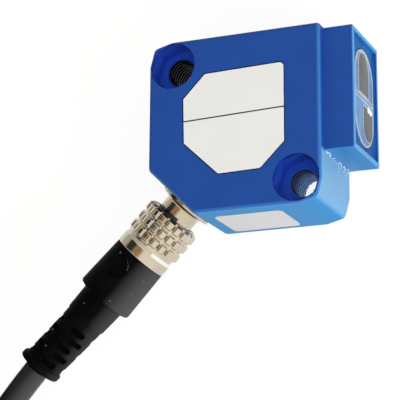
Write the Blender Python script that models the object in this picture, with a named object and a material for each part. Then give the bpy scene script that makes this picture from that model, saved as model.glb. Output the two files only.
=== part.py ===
"""Miniature background suppression sensor in a square block housing, with its plug-in cable.

The sensor lies on its back: X and Y run along the sides of the square block, and Z rises from the
back face (Z = 0) to the label face. The origin is the middle of the back face. The optic head
stands out on the +X side. The round connector leaves the cut corner at -X -Y, half way up the
block, and its pieces are placed along that axis. All lengths are in metres.
"""

import math

import bmesh
import bpy
from mathutils import Matrix, Vector

# Clearances
SEAT_GAP = 0.0001        # a piece to the seat that it rests against
PART_GAP = 0.0002        # pieces that only lie beside each other
CORD_GAP = 0.0003        # the cable's solids to each other
RUN_GAP = 0.0001         # round a piece that turns or slides

# Block housing
BLOCK_SIDE = 0.0300
BLOCK_DEPTH = 0.0150
CABLE_CUT = 0.0081       # how much of each side the 45 degree cut takes away
FACET_START = 0.00395    # the two facets at a screw corner start this far from the corner
FACET_TIP = 0.0008       # their shared edge lies this far in from both sides
EDGE_ROUND = 0.0005
SQUARE_CORNER_ROUND = 0.0007
CUT_CORNER_ROUND = 0.0012
WALL = 0.0012
FRONT_WALL = 0.0012
COVER_THICKNESS = 0.0012
COVER_LEDGE = 0.0005

# Screw places: a round mouth, a hexagon for the nut or screw head, a metal sleeve between them
SCREW_INSET = 0.0043
NUT_ACROSS_FLATS = 0.0071
MOUTH_RADIUS = 0.00395
MOUTH_DEPTH = 0.0005
POCKET_DEPTH = 0.0040
SLEEVE_BORE = 0.0044
SLEEVE_WALL = 0.0003
BOSS_WALL = 0.0007
HEXAGON_TURN = 15.0      # degrees, so that one corner of the hexagon points at the block's corner

# Labels, bare, placed by their distances from the block's edges
LABEL_LEFT_MARGIN = 0.0062
LABEL_RIGHT_MARGIN = 0.0064
LABEL_LOW_MARGIN = 0.0064
LABEL_HIGH_MARGIN = 0.0060
LABEL_HIGH_CUT = 0.0040
LABEL_LOW_CUT = 0.0060
LABEL_SIDE_CUT = 0.0038
LABEL_THICKNESS = 0.00015
LABEL_RECESS = 0.0002
SIDE_LABEL_LEFT_MARGIN = 0.0103
SIDE_LABEL_RIGHT_MARGIN = 0.0080
SIDE_LABEL_LOW_MARGIN = 0.0016
SIDE_LABEL_HIGH_MARGIN = 0.0033
SIDE_LABEL_ROUND = 0.0009

# Optic head
HEAD_REACH = 0.00506
HEAD_LENGTH = 0.0207
HEAD_TOP_INSET = 0.0006
HEAD_STEP = 0.00156      # the head is this much lower than the label face
HEAD_WALL = 0.0012
HEAD_FACE = 0.0014
HEAD_RIM_WIDTH = 0.0008
HEAD_RIM_DEPTH = 0.0004
HEAD_EDGE_ROUND = 0.0003
WINDOW_RADIUS = 0.0049
WINDOW_DROP = 0.0002     # its middle lies this far below the head's
WINDOW_SPREAD = 0.0068   # between the centres of its two round ends
WINDOW_THICKNESS = 0.0012
WINDOW_PROUD = 0.0002
WINDOW_BEVEL = 0.00025

# Optics inside
CARRIER_LENGTH = 0.0085
CARRIER_SIDE = 0.0002    # less than the head's inside all round
RECEIVER_LENS_RADIUS = 0.0035
EMITTER_LENS_RADIUS = 0.0032
LENS_EDGE = 0.0008
LENS_CROWN = 0.0007
LENS_LIP = 0.0005
LENS_SEAT_DEPTH = 0.0022
LENS_SPACING = 0.0086
EMITTER_OFFSET = 0.0047  # emitter axis below the middle of the window
LED_RADIUS = 0.0014
LED_HEIGHT = 0.0016
LED_DOME = 0.00084
DIODE_SIZE = 0.0024
DIODE_HEIGHT = 0.0009

# Boards
BOARD_THICKNESS = 0.0009
BOARD_INSET = 0.0003
BOARD_CUT_DEPTH = 0.0050  # the main board stops this far inside the connector's corner
CHIP_SIZE = 0.0050
CHIP_SETBACK = 0.0060    # from the sensor board to the middle of the chip
CHIP_HEIGHT = 0.0009
DRIVER_LENGTH = 0.0040
DRIVER_WIDTH = 0.0030
DRIVER_SETBACK = 0.0040
DRIVER_Y = -0.0040
CAPACITOR_LENGTH = 0.0035
CAPACITOR_WIDTH = 0.0020
CAPACITOR_HEIGHT = 0.0016

# Connector on the sensor, as distances along its axis from the cut face
FLANGE_RADIUS = 0.0047
FLANGE_THICKNESS = 0.0006
RELIEF_RADIUS = 0.00325
RELIEF_LENGTH = 0.0028
THREAD_RADIUS = 0.0039
THREAD_LENGTH = 0.0047
RECEPTACLE_SHANK = 0.0035
SHANK_RADIUS = 0.0036
RECEPTACLE_BORE = 0.00295
PIN_CARRIER_FACE = 0.0022
PIN_CARRIER_TAIL = 0.0042
PIN_RADIUS = 0.0004
PIN_CIRCLE = 0.00135
PIN_TAIL = 0.0060
PIN_REACH = 0.0046
PIN_COUNT = 4

# Coupling nut
NUT_START = 0.0033
NUT_KNURL_START = 0.00035
NUT_RADIUS = 0.0050
NUT_CHAMFER = 0.0004
KNURL_DEPTH = 0.0004
KNURL_PADS = 18
KNURL_ROWS = 3
KNURL_PAD_LENGTH = 0.00135
KNURL_PITCH = 0.00195
KNURL_SLOPE = 0.0002
KNURL_SHARES = (0.0, 0.14, 0.3, 0.84)  # of a pad's pitch: both ends of the groove, both ends of the top
COLLAR_RADIUS = 0.00475
COLLAR_LENGTH = 0.0026
NUT_THREAD_CLEARANCE = 0.00025
NUT_SHOULDER = 0.0030    # thickness of the lip that holds the nut on the plug

# Cable plug
NOSE_RADIUS = 0.00275
PLUG_FLANGE_THICKNESS = 0.0006
PLUG_FLANGE_RADIUS = 0.0040
PLUG_NECK_RADIUS = 0.0034
PLUG_ANCHOR = 0.0015     # how far the contact carrier reaches into the grip
SEAL_SECTION = 0.0007
SEAL_SINK = 0.0004
SEAL_SETBACK = 0.0010
SOCKET_WALL = 0.0002
SOCKET_LENGTH = 0.0056
GRIP_LENGTH = 0.0092
GRIP_FRONT_RADIUS = 0.0047
GRIP_REAR_RADIUS = 0.0050
GRIP_EDGE = 0.0004
TAIL_LENGTH = 0.0047
TAIL_FRONT_RADIUS = 0.00386
TAIL_REAR_RADIUS = 0.00367
RELIEF_FRONT_RADIUS = 0.0035
RELIEF_REAR_RADIUS = 0.00335
RELIEF_FIRST_SLOT = 0.0019
SLOT_PITCH = 0.00176
SLOT_WIDTH = 0.00075
SLOT_ROWS = 5
SLOT_FLOOR_RADIUS = 0.0026
SLOT_ARC = 44.0          # degrees
SLOT_SLOPE = 3.0         # degrees
SLOT_TWIST = 17.0        # degrees between neighbouring rows
SLOTS_ROUND = 4
SLOT_ANGLE = -51.0       # degrees, from straight up
RELIEF_LAST_SLOT = 0.0012
RELIEF_LEAN = 0.0008       # how far the soft end stands aside of the plug's axis
END_RING_LENGTH = 0.0013
END_RING_RADIUS = 0.0038
END_RING_BEVEL = 0.0004
MARK_RADIUS = 0.00145
MARK_DEPTH = 0.00025
MARK_SETBACK = 0.0031

# Cable
CORD_RADIUS = 0.00215
COIL_LANES = 4
COIL_LAYERS = 3
COIL_MEAN_RADIUS = 0.0258
LANE_PITCH = 0.00445     # between turns that lie side by side
LAYER_PITCH = 0.00435    # between turns that lie on each other
COIL_SIDES = 40          # flat sides of the coil's solid
COIL_ENTRY = 0.03666     # along the connector's direction, from the plug's end to the coil
TIE_THICKNESS = 0.0004
TIE_WIDTH = 0.0045
TIE_ANGLE = 180.0        # degrees round the coil
END_RADIUS = 0.0275      # the loose end lies on the coil, a little outside the middle of its turns
END_START = -164.0       # where it starts on top of the coil
END_ARC = -147.0         # how far it goes round, clockwise as the coil is wound
CORE_RADIUS = 0.0006
CORE_LENGTH = 0.0280
CORE_PITCH = 0.00135     # between neighbouring cores where they leave the jacket
CORE_SPREAD = 0.0022     # how much further apart they are at their ends

# Derived places
half = BLOCK_SIDE / 2
headRight = half + HEAD_REACH
headHigh = half - HEAD_TOP_INSET
headLow = headHigh - HEAD_LENGTH
headHeight = BLOCK_DEPTH - HEAD_STEP
headMiddle = headHeight / 2
windowMiddle = (headHigh + headLow) / 2 - WINDOW_DROP
screwPlaces = [(-half + SCREW_INSET, half - SCREW_INSET), (half - SCREW_INSET, -half + SCREW_INSET)]
sleeveRadius = SLEEVE_BORE / 2 + SLEEVE_WALL
bossRadius = NUT_ACROSS_FLATS / math.sqrt(3) + BOSS_WALL
middleHeight = BLOCK_DEPTH / 2
labelLeft, labelRight = -half + LABEL_LEFT_MARGIN, half - LABEL_RIGHT_MARGIN
labelLow, labelHigh = -half + LABEL_LOW_MARGIN, half - LABEL_HIGH_MARGIN
sideLabelLength = BLOCK_SIDE - SIDE_LABEL_LEFT_MARGIN - SIDE_LABEL_RIGHT_MARGIN
sideLabelWidth = BLOCK_DEPTH - SIDE_LABEL_LOW_MARGIN - SIDE_LABEL_HIGH_MARGIN
sideLabelX = (SIDE_LABEL_LEFT_MARGIN - SIDE_LABEL_RIGHT_MARGIN) / 2
sideLabelHeight = middleHeight + (SIDE_LABEL_LOW_MARGIN - SIDE_LABEL_HIGH_MARGIN) / 2
cutFace = Vector((-half + CABLE_CUT / 2, -half + CABLE_CUT / 2, middleHeight))
headFaceFloor = headRight - HEAD_RIM_DEPTH
headFaceBack = headFaceFloor - HEAD_FACE
threadEnd = FLANGE_THICKNESS + RELIEF_LENGTH + THREAD_LENGTH + SEAT_GAP
plugFlangeStart = threadEnd + SEAT_GAP
plugFlangeEnd = plugFlangeStart + PLUG_FLANGE_THICKNESS
noseStart = PIN_CARRIER_FACE + PART_GAP
nutShoulderStart = plugFlangeEnd + RUN_GAP
nutEnd = nutShoulderStart + NUT_SHOULDER
gripStart = nutEnd + RUN_GAP
gripEnd = gripStart + GRIP_LENGTH
tailEnd = gripEnd + TAIL_LENGTH
slotsEnd = tailEnd + RELIEF_FIRST_SLOT + SLOT_PITCH * (SLOT_ROWS - 1) + RELIEF_LAST_SLOT
plugEnd = slotsEnd + END_RING_LENGTH
coilBase = TIE_THICKNESS + SEAT_GAP
coilHeight = 2 * CORD_RADIUS + LAYER_PITCH * (COIL_LAYERS - 1)
coilHalfWidth = CORD_RADIUS + LANE_PITCH * (COIL_LANES - 1) / 2
outwards = Vector((-1.0, -1.0, 0.0)).normalized()
sideways = Vector((-1.0, 1.0, 0.0)).normalized()
cordStart = cutFace + outwards * (plugEnd + CORD_GAP)
coilEntry = cordStart + outwards * COIL_ENTRY
coilOuterLane = COIL_MEAN_RADIUS + coilHalfWidth - CORD_RADIUS
coilMiddle = Vector((coilEntry.x, coilEntry.y, 0.0)) + sideways * coilOuterLane


def clear_scene():
    for thing in list(bpy.data.objects):
        bpy.data.objects.remove(thing)


def material(name, colour, roughness, metallic=0.0):
    made = bpy.data.materials.new(name)
    made.use_nodes = True
    shader = made.node_tree.nodes["Principled BSDF"]
    shader.inputs["Base Color"].default_value = (*colour, 1.0)
    shader.inputs["Roughness"].default_value = roughness
    shader.inputs["Metallic"].default_value = metallic
    return made


def add_object(name, mesh_data, finish=None, parent=None):
    thing = bpy.data.objects.new(name, mesh_data)
    bpy.context.collection.objects.link(thing)
    if finish:
        thing.data.materials.append(finish)
    if parent:
        thing.parent = parent
    return thing


def add_mesh(name, bm, finish=None, parent=None, sharp=35.0):
    bmesh.ops.recalc_face_normals(bm, faces=bm.faces)
    mesh_data = bpy.data.meshes.new(name)
    bm.to_mesh(mesh_data)
    bm.free()
    mesh_data.shade_smooth()
    mesh_data.set_sharp_from_angle(angle=math.radians(sharp))
    return add_object(name, mesh_data, finish, parent)


def add_empty(name, place, turn=None, parent=None):
    empty = bpy.data.objects.new(name, None)
    bpy.context.collection.objects.link(empty)
    empty.location = place
    if turn:
        empty.rotation_euler = turn
    if parent:
        empty.parent = parent
    return empty


def combine(target, tool, operation="DIFFERENCE"):
    step = target.modifiers.new(operation.title(), "BOOLEAN")
    step.operation = operation
    step.object = tool
    tool.hide_render = True
    tool.display_type = "WIRE"


def prism(outline, low, high):
    """A closed block over a flat outline, from one height to another."""
    bm = bmesh.new()
    face = bm.faces.new([bm.verts.new((x, y, low)) for x, y in outline])
    lifted = bmesh.ops.extrude_face_region(bm, geom=[face])
    risen = [v for v in lifted["geom"] if isinstance(v, bmesh.types.BMVert)]
    bmesh.ops.translate(bm, verts=risen, vec=(0, 0, high - low))
    return bm


def stepped_prism(levels):
    """A closed block through outlines of equally many points, each at its own height."""
    bm = bmesh.new()
    rings = [[bm.verts.new((x, y, height)) for x, y in outline] for outline, height in levels]
    for low, high in zip(rings, rings[1:]):
        for i in range(len(low)):
            j = (i + 1) % len(low)
            bm.faces.new((low[i], low[j], high[j], high[i]))
    bm.faces.new(rings[0])
    bm.faces.new(rings[-1])
    return bm


def stood_on_side(bm, x, y, z):
    """Turns a block made in X and Y, so that its X runs along +Y, its Y along +Z and its Z along +X."""
    turn = Matrix(((0, 0, 1), (1, 0, 0), (0, 1, 0))).to_4x4()
    bmesh.ops.transform(bm, matrix=Matrix.Translation((x, y, z)) @ turn, verts=bm.verts)
    return bm


def box(low, high):
    corners = [(low[0], low[1]), (high[0], low[1]), (high[0], high[1]), (low[0], high[1])]
    return prism(corners, low[2], high[2])


def rounded(outline, radii, steps=3):
    """Replaces each corner of an outline, listed anticlockwise, by an arc of its own radius."""
    points = []
    count = len(outline)
    for i, corner in enumerate(outline):
        radius = radii[i] if isinstance(radii, (list, tuple)) else radii
        here = Vector(corner)
        if radius <= 0:
            points.append(tuple(here))
            continue
        before = (Vector(outline[i - 1]) - here).normalized()
        after = (Vector(outline[(i + 1) % count]) - here).normalized()
        opening = before.angle(after)
        reach = radius / math.tan(opening / 2)
        middle = here + (before + after).normalized() * radius / math.sin(opening / 2)
        start = here + before * reach - middle
        sweep = math.pi - opening
        for step in range(steps + 1):
            turned = Matrix.Rotation(sweep * step / steps, 2) @ start
            points.append(tuple(middle + turned))
    return points


def inset(outline, distance):
    """Moves each side of an outline, listed anticlockwise, inwards by the distance."""
    points = []
    count = len(outline)
    for i in range(count):
        here = Vector(outline[i])
        into = (here - Vector(outline[i - 1])).normalized()
        out = (Vector(outline[(i + 1) % count]) - here).normalized()
        normals = [Vector((-into.y, into.x)), Vector((-out.y, out.x))]
        mean = (normals[0] + normals[1]).normalized()
        points.append(tuple(here + mean * distance / mean.dot(normals[0])))
    return points


def circle(radius, count, turn=0.0):
    start = math.radians(turn)
    return [(radius * math.cos(start + 2 * math.pi * i / count),
             radius * math.sin(start + 2 * math.pi * i / count)) for i in range(count)]


def moved(outline, x, y):
    return [(px + x, py + y) for px, py in outline]


def turned_body(profile, count=32, radius_at=None, angles=None):
    """Turns a closed profile of (distance along Z, radius) points; a radius of 0 closes an end."""
    bm = bmesh.new()
    if angles is None:
        angles = [2 * math.pi * i / count for i in range(count)]
    rings = []
    for index, (along, radius) in enumerate(profile):
        if radius <= 0:
            rings.append([bm.verts.new((0, 0, along))])
            continue
        ring = []
        for angle in angles:
            here = radius_at(index, along, radius, angle) if radius_at else radius
            ring.append(bm.verts.new((here * math.cos(angle), here * math.sin(angle), along)))
        rings.append(ring)
    hollow = all(len(ring) > 1 for ring in rings)
    pairs = list(zip(rings, rings[1:]))
    if hollow:
        pairs.append((rings[-1], rings[0]))
    size = len(angles)
    for low, high in pairs:
        for i in range(size):
            j = (i + 1) % size
            corners = [low[i % len(low)], low[j % len(low)], high[j % len(high)], high[i % len(high)]]
            distinct = list(dict.fromkeys(corners))
            if len(distinct) > 2:
                bm.faces.new(distinct)
    return bm


def rod(radius, low, high, count=24):
    return prism(circle(radius, count), low, high)


def block_outline():
    """The block's front view, anticlockwise from the lower right screw corner."""
    corner = [(half, -half + FACET_START), (half, half), (-half + FACET_START, half),
              (-half + FACET_TIP, half - FACET_TIP), (-half, half - FACET_START),
              (-half, -half + CABLE_CUT), (-half + CABLE_CUT, -half),
              (half - FACET_START, -half), (half - FACET_TIP, -half + FACET_TIP)]
    radii = [0, SQUARE_CORNER_ROUND, 0, 0, 0, CUT_CORNER_ROUND, CUT_CORNER_ROUND, 0, 0]
    return rounded(corner, radii, steps=2)


def plain_outline():
    """The same outline with the square and cut corners left sharp, for the inside."""
    return [(half, -half + FACET_START), (half, half), (-half + FACET_START, half),
            (-half, half - FACET_START), (-half, -half + CABLE_CUT),
            (-half + CABLE_CUT, -half), (half - FACET_START, -half)]


def round_rim(bm, height, width, steps=2):
    """Rounds the edges that lie at one height round a block."""
    rim = [e for e in bm.edges if all(abs(v.co.z - height) < 1e-7 for v in e.verts)]
    bmesh.ops.bevel(bm, geom=rim, offset=width, segments=steps, affect="EDGES", profile=0.5)


def boss_posts(name, radius, low, high):
    """Round posts at both screw places."""
    posts = []
    for number, (x, y) in enumerate(screwPlaces, start=1):
        post = add_mesh(f"{name}_{number}", prism(moved(circle(radius, 32), x, y), low, high))
        posts.append(post)
    return posts


def head_room(grow):
    """The lowest and highest Y and Z of the space inside the optic head."""
    sill = COVER_THICKNESS + SEAT_GAP + COVER_LEDGE
    return (headLow + HEAD_WALL - grow, headHigh - HEAD_WALL + grow,
            sill - grow, headHeight - HEAD_WALL + grow)


def label_outline(grow=0.0):
    corner = [(labelLeft, labelLow + LABEL_LOW_CUT), (labelLeft + LABEL_LOW_CUT, labelLow),
              (labelRight - LABEL_SIDE_CUT, labelLow), (labelRight, labelLow + LABEL_HIGH_CUT),
              (labelRight, labelHigh), (labelLeft + LABEL_HIGH_CUT, labelHigh),
              (labelLeft, labelHigh - LABEL_HIGH_CUT)]
    radii = [0, 0, 0, 0, SIDE_LABEL_ROUND, 0, 0]
    return inset(rounded(corner, radii), -grow)


def side_label_outline(grow=0.0):
    x, z = sideLabelLength / 2 + grow, sideLabelWidth / 2 + grow
    return rounded([(-x, -z), (x, -z), (x, z), (-x, z)], SIDE_LABEL_ROUND + grow)


def connector_rod(name, radius, low, high, count=48):
    """A round cutter along the connector's axis."""
    return add_mesh(name, rod(radius, low, high, count), parent=connector)


def housing_shell(blue):
    bm = prism(block_outline(), 0.0, BLOCK_DEPTH)
    round_rim(bm, BLOCK_DEPTH, EDGE_ROUND)
    round_rim(bm, 0.0, EDGE_ROUND / 2, steps=1)
    shell = add_mesh("housing_shell", bm, blue)
    inside = inset(plain_outline(), WALL)
    seat = inset(plain_outline(), WALL - COVER_LEDGE)
    cavityLow = COVER_THICKNESS + SEAT_GAP
    cavity = add_mesh("cavity", stepped_prism([(seat, -WALL), (seat, cavityLow), (inside, cavityLow),
                                               (inside, BLOCK_DEPTH - FRONT_WALL)]))
    for post in boss_posts("boss", bossRadius, -2 * WALL, BLOCK_DEPTH):
        combine(cavity, post)
    combine(shell, cavity)
    # the opening towards the optic head
    low, high, floor, ceiling = head_room(0.0)
    combine(shell, add_mesh("light_opening", box((half - 2 * WALL, low, floor),
                                                 (half + WALL, high, ceiling))))
    combine(shell, connector_rod("shank_hole", SHANK_RADIUS + SEAT_GAP, -RECEPTACLE_SHANK - WALL, WALL))
    recessFloor = BLOCK_DEPTH - LABEL_RECESS
    combine(shell, add_mesh("label_recess", prism(label_outline(SEAT_GAP), recessFloor,
                                                  BLOCK_DEPTH + WALL)))
    tool = prism(side_label_outline(SEAT_GAP), -WALL, LABEL_RECESS)
    bmesh.ops.rotate(tool, verts=tool.verts, matrix=Matrix.Rotation(math.radians(90), 3, "X"))
    recess = add_mesh("side_label_recess", tool)
    recess.location = (sideLabelX, -half, sideLabelHeight)
    recess.rotation_euler = (0, 0, math.radians(180))
    combine(shell, recess)
    for number, (x, y) in enumerate(screwPlaces, start=1):
        add_screw_place(shell, number, x, y)
    return shell


def add_screw_place(shell, number, x, y):
    """Cuts the mouths, the two hexagon pockets and the sleeve's hole of one screw place."""
    hexagon = circle(NUT_ACROSS_FLATS / math.sqrt(3), 6, HEXAGON_TURN)
    mouth = circle(MOUTH_RADIUS, 36)
    cuts = {
        "front_mouth": (mouth, BLOCK_DEPTH - MOUTH_DEPTH, BLOCK_DEPTH + WALL),
        "front_pocket": (hexagon, BLOCK_DEPTH - POCKET_DEPTH, BLOCK_DEPTH + WALL),
        "back_mouth": (mouth, -WALL, MOUTH_DEPTH),
        "back_pocket": (hexagon, -WALL, POCKET_DEPTH),
        "sleeve_hole": (circle(sleeveRadius + SEAT_GAP / 2, 32), -WALL, BLOCK_DEPTH + WALL),
    }
    for name, (outline, low, high) in cuts.items():
        combine(shell, add_mesh(f"{name}_{number}", prism(moved(outline, x, y), low, high)))


def screw_sleeves(steel):
    for number, (x, y) in enumerate(screwPlaces, start=1):
        profile = [(POCKET_DEPTH, SLEEVE_BORE / 2), (POCKET_DEPTH, sleeveRadius),
                   (BLOCK_DEPTH - POCKET_DEPTH, sleeveRadius), (BLOCK_DEPTH - POCKET_DEPTH, SLEEVE_BORE / 2)]
        sleeve = add_mesh(f"screw_sleeve_{number}", turned_body(profile, 32), steel)
        sleeve.location = (x, y, 0)


def back_cover(blue):
    edge = inset(plain_outline(), WALL - COVER_LEDGE + SEAT_GAP)
    cover = add_mesh("back_cover", prism(edge, 0.0, COVER_THICKNESS), blue)
    for post in boss_posts("cover_notch", bossRadius + SEAT_GAP, -WALL, COVER_THICKNESS + WALL):
        combine(cover, post)


def stadium(radius, spread, steps=12):
    """A slot outline with round ends, long along X."""
    points = []
    for side in (1, -1):
        for step in range(steps + 1):
            angle = math.pi * step / steps - math.pi / 2 * side
            points.append((side * spread / 2 + radius * math.cos(angle), radius * math.sin(angle)))
    return points


def optic_head(blue):
    low, high, floor, ceiling = headLow, headHigh, 0.0, headHeight
    corners = [(low, floor), (high, floor), (high, ceiling), (low, ceiling)]
    left = half + SEAT_GAP
    bm = prism(rounded(corners, HEAD_EDGE_ROUND, steps=1), left, headRight)
    head = add_mesh("optic_head", stood_on_side(bm, 0, 0, 0), blue)
    roomLow, roomHigh, roomFloor, roomCeiling = head_room(0.0)
    combine(head, add_mesh("head_room", box((half - WALL, roomLow, roomFloor),
                                            (headFaceBack, roomHigh, roomCeiling))))
    rim = HEAD_RIM_WIDTH
    combine(head, add_mesh("head_rim", box((headFaceFloor, low + rim, rim),
                                           (headRight + rim, high - rim, ceiling - rim))))
    hole = prism(stadium(WINDOW_RADIUS + SEAT_GAP, WINDOW_SPREAD), 0, HEAD_REACH)
    combine(head, add_mesh("window_hole", stood_on_side(hole, half + WALL, windowMiddle, headMiddle)))


def front_window(clear):
    front = headFaceFloor + WINDOW_PROUD
    bm = prism(stadium(WINDOW_RADIUS, WINDOW_SPREAD), 0, WINDOW_THICKNESS)
    round_rim(bm, WINDOW_THICKNESS, WINDOW_BEVEL, steps=1)
    add_mesh("front_window", stood_on_side(bm, front - WINDOW_THICKNESS, windowMiddle, headMiddle), clear)


emitterY = windowMiddle - EMITTER_OFFSET
receiverY = emitterY + LENS_SPACING
carrierFront = headFaceBack - PART_GAP
carrierBack = carrierFront - CARRIER_LENGTH
sensorBoardRight = carrierBack - PART_GAP


def optics_carrier(grey):
    low, high, floor, ceiling = head_room(-CARRIER_SIDE)
    carrier = add_mesh("optics_carrier", box((carrierBack, low, floor), (carrierFront, high, ceiling)), grey)
    for name, y, radius in (("receiver", receiverY, RECEIVER_LENS_RADIUS),
                            ("emitter", emitterY, EMITTER_LENS_RADIUS)):
        tunnel = rod(radius - LENS_LIP, 0, CARRIER_LENGTH + 2 * WALL, 32)
        tunnel = add_mesh(f"{name}_tunnel", stood_on_side(tunnel, carrierBack - WALL, y, headMiddle))
        combine(carrier, tunnel)
        seat = rod(radius + SEAT_GAP, 0, LENS_SEAT_DEPTH + WALL, 32)
        seat = add_mesh(f"{name}_seat", stood_on_side(seat, carrierFront - LENS_SEAT_DEPTH, y, headMiddle))
        combine(carrier, seat)
    for post in boss_posts("carrier_notch", bossRadius + PART_GAP, -WALL, BLOCK_DEPTH):
        combine(carrier, post)


def lens(name, radius, y, clear):
    """A flat-backed lens with a crowned front."""
    steps = 4
    crown = [(LENS_EDGE + LENS_CROWN * (1 - (k / steps) ** 2), radius * k / steps) for k in range(steps + 1)]
    profile = [(0, 0), (0, radius)] + crown[::-1]
    place = carrierFront - LENS_SEAT_DEPTH + SEAT_GAP
    add_mesh(name, stood_on_side(turned_body(profile, 32), place, y, headMiddle), clear)


def light_parts(clear, dark):
    steps = 3
    dome = [(LED_HEIGHT - LED_DOME * (1 - math.cos(math.pi / 2 * k / steps)),
             LED_RADIUS * math.sin(math.pi / 2 * k / steps)) for k in range(steps + 1)]
    led = turned_body([(0, 0), (0, LED_RADIUS)] + dome[::-1], 20)
    base = sensorBoardRight + SEAT_GAP
    add_mesh("emitter_led", stood_on_side(led, base, emitterY, headMiddle), clear)
    reach = DIODE_SIZE / 2
    add_mesh("receiver_diode", box((base, receiverY - reach, headMiddle - reach),
                                   (base + DIODE_HEIGHT, receiverY + reach, headMiddle + reach)), dark)


def boards(green):
    low, high, floor, ceiling = head_room(-CARRIER_SIDE)
    edge = BLOCK_DEPTH - FRONT_WALL - BOARD_INSET
    left = sensorBoardRight - BOARD_THICKNESS
    top = half - WALL - BOARD_INSET
    upright = add_mesh("sensor_board", box((left, low, COVER_THICKNESS + BOARD_INSET + SEAT_GAP),
                                           (sensorBoardRight, top, edge)), green)
    # the main board runs from the connector's corner to the sensor board
    side = -half + WALL + BOARD_INSET
    cut = CABLE_CUT + BOARD_CUT_DEPTH * math.sqrt(2) - (half + side)
    right = left - PART_GAP
    outline = [(side + cut, side), (right, side), (right, top), (side, top), (side, side + cut)]
    floorHeight = middleHeight - BOARD_THICKNESS / 2
    board = add_mesh("main_board", prism(outline, floorHeight, floorHeight + BOARD_THICKNESS), green)
    for post in boss_posts("board_notch", bossRadius + BOARD_INSET, 0, BLOCK_DEPTH):
        combine(board, post)
        combine(upright, post)


def board_parts(dark, amber):
    deck = middleHeight + BOARD_THICKNESS / 2 + SEAT_GAP
    under = middleHeight - BOARD_THICKNESS / 2 - SEAT_GAP
    right = sensorBoardRight - BOARD_THICKNESS - 2 * PART_GAP
    pieces = {
        "controller_chip": (right - CHIP_SETBACK, CHIP_SIZE, CHIP_SIZE, CHIP_SIZE, deck, CHIP_HEIGHT, dark),
        "output_driver": (right - DRIVER_SETBACK, DRIVER_Y, DRIVER_LENGTH, DRIVER_WIDTH, deck, CHIP_HEIGHT,
                          dark),
        "buffer_capacitor": (right - CAPACITOR_LENGTH, 0, CAPACITOR_LENGTH, CAPACITOR_WIDTH,
                             under - CAPACITOR_HEIGHT, CAPACITOR_HEIGHT, amber),
    }
    for name, (x, y, length, width, base, height, finish) in pieces.items():
        add_mesh(name, box((x - length / 2, y - width / 2, base),
                           (x + length / 2, y + width / 2, base + height)), finish)


def labels(white):
    base = BLOCK_DEPTH - LABEL_RECESS + SEAT_GAP / 2
    add_mesh("front_label", prism(label_outline(), base, base + LABEL_THICKNESS), white)
    bm = prism(side_label_outline(), 0, LABEL_THICKNESS)
    bmesh.ops.rotate(bm, verts=bm.verts, matrix=Matrix.Rotation(math.radians(90), 3, "X"))
    plate = add_mesh("side_label", bm, white)
    plate.location = (sideLabelX, -half + LABEL_RECESS - SEAT_GAP / 2, sideLabelHeight)


def pin_places():
    for number in range(PIN_COUNT):
        angle = 2 * math.pi * (number + 0.5) / PIN_COUNT
        yield number + 1, PIN_CIRCLE * math.cos(angle), PIN_CIRCLE * math.sin(angle)


def receptacle(nickel, dark, gold):
    relief = FLANGE_THICKNESS + SEAT_GAP
    thread = relief + RELIEF_LENGTH
    profile = [(-RECEPTACLE_SHANK, RECEPTACLE_BORE), (-RECEPTACLE_SHANK, SHANK_RADIUS),
               (SEAT_GAP, SHANK_RADIUS), (SEAT_GAP, FLANGE_RADIUS),
               (relief - SEAT_GAP, FLANGE_RADIUS), (relief, FLANGE_RADIUS - SEAT_GAP),
               (relief, RELIEF_RADIUS), (thread, RELIEF_RADIUS), (thread, THREAD_RADIUS),
               (threadEnd - SEAT_GAP, THREAD_RADIUS), (threadEnd, THREAD_RADIUS - 2 * SEAT_GAP),
               (threadEnd, RECEPTACLE_BORE)]
    add_mesh("receptacle", turned_body(profile, 44), nickel, connector)
    carrier = rod(RECEPTACLE_BORE - SEAT_GAP / 2, -PIN_CARRIER_TAIL, PIN_CARRIER_FACE, 44)
    carrier = add_mesh("pin_carrier", carrier, dark, connector)
    for number, x, y in pin_places():
        hole = add_mesh(f"pin_hole_{number}", prism(moved(circle(PIN_RADIUS + SEAT_GAP / 2, 12), x, y),
                                                    -PIN_CARRIER_TAIL - WALL, PIN_CARRIER_FACE + WALL),
                        parent=connector)
        combine(carrier, hole)
        tip = PIN_CARRIER_FACE + PIN_REACH
        shape = [(-PIN_TAIL, 0), (-PIN_TAIL, PIN_RADIUS), (tip - PIN_RADIUS, PIN_RADIUS),
                 (tip, PIN_RADIUS / 2), (tip, 0)]
        pin = add_mesh(f"contact_pin_{number}", turned_body(shape, 12), gold, connector)
        pin.location = (x, y, 0)


def knurl_angles():
    pitch = 2 * math.pi / KNURL_PADS
    return [pitch * (pad + share) for pad in range(KNURL_PADS) for share in KNURL_SHARES]


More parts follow.
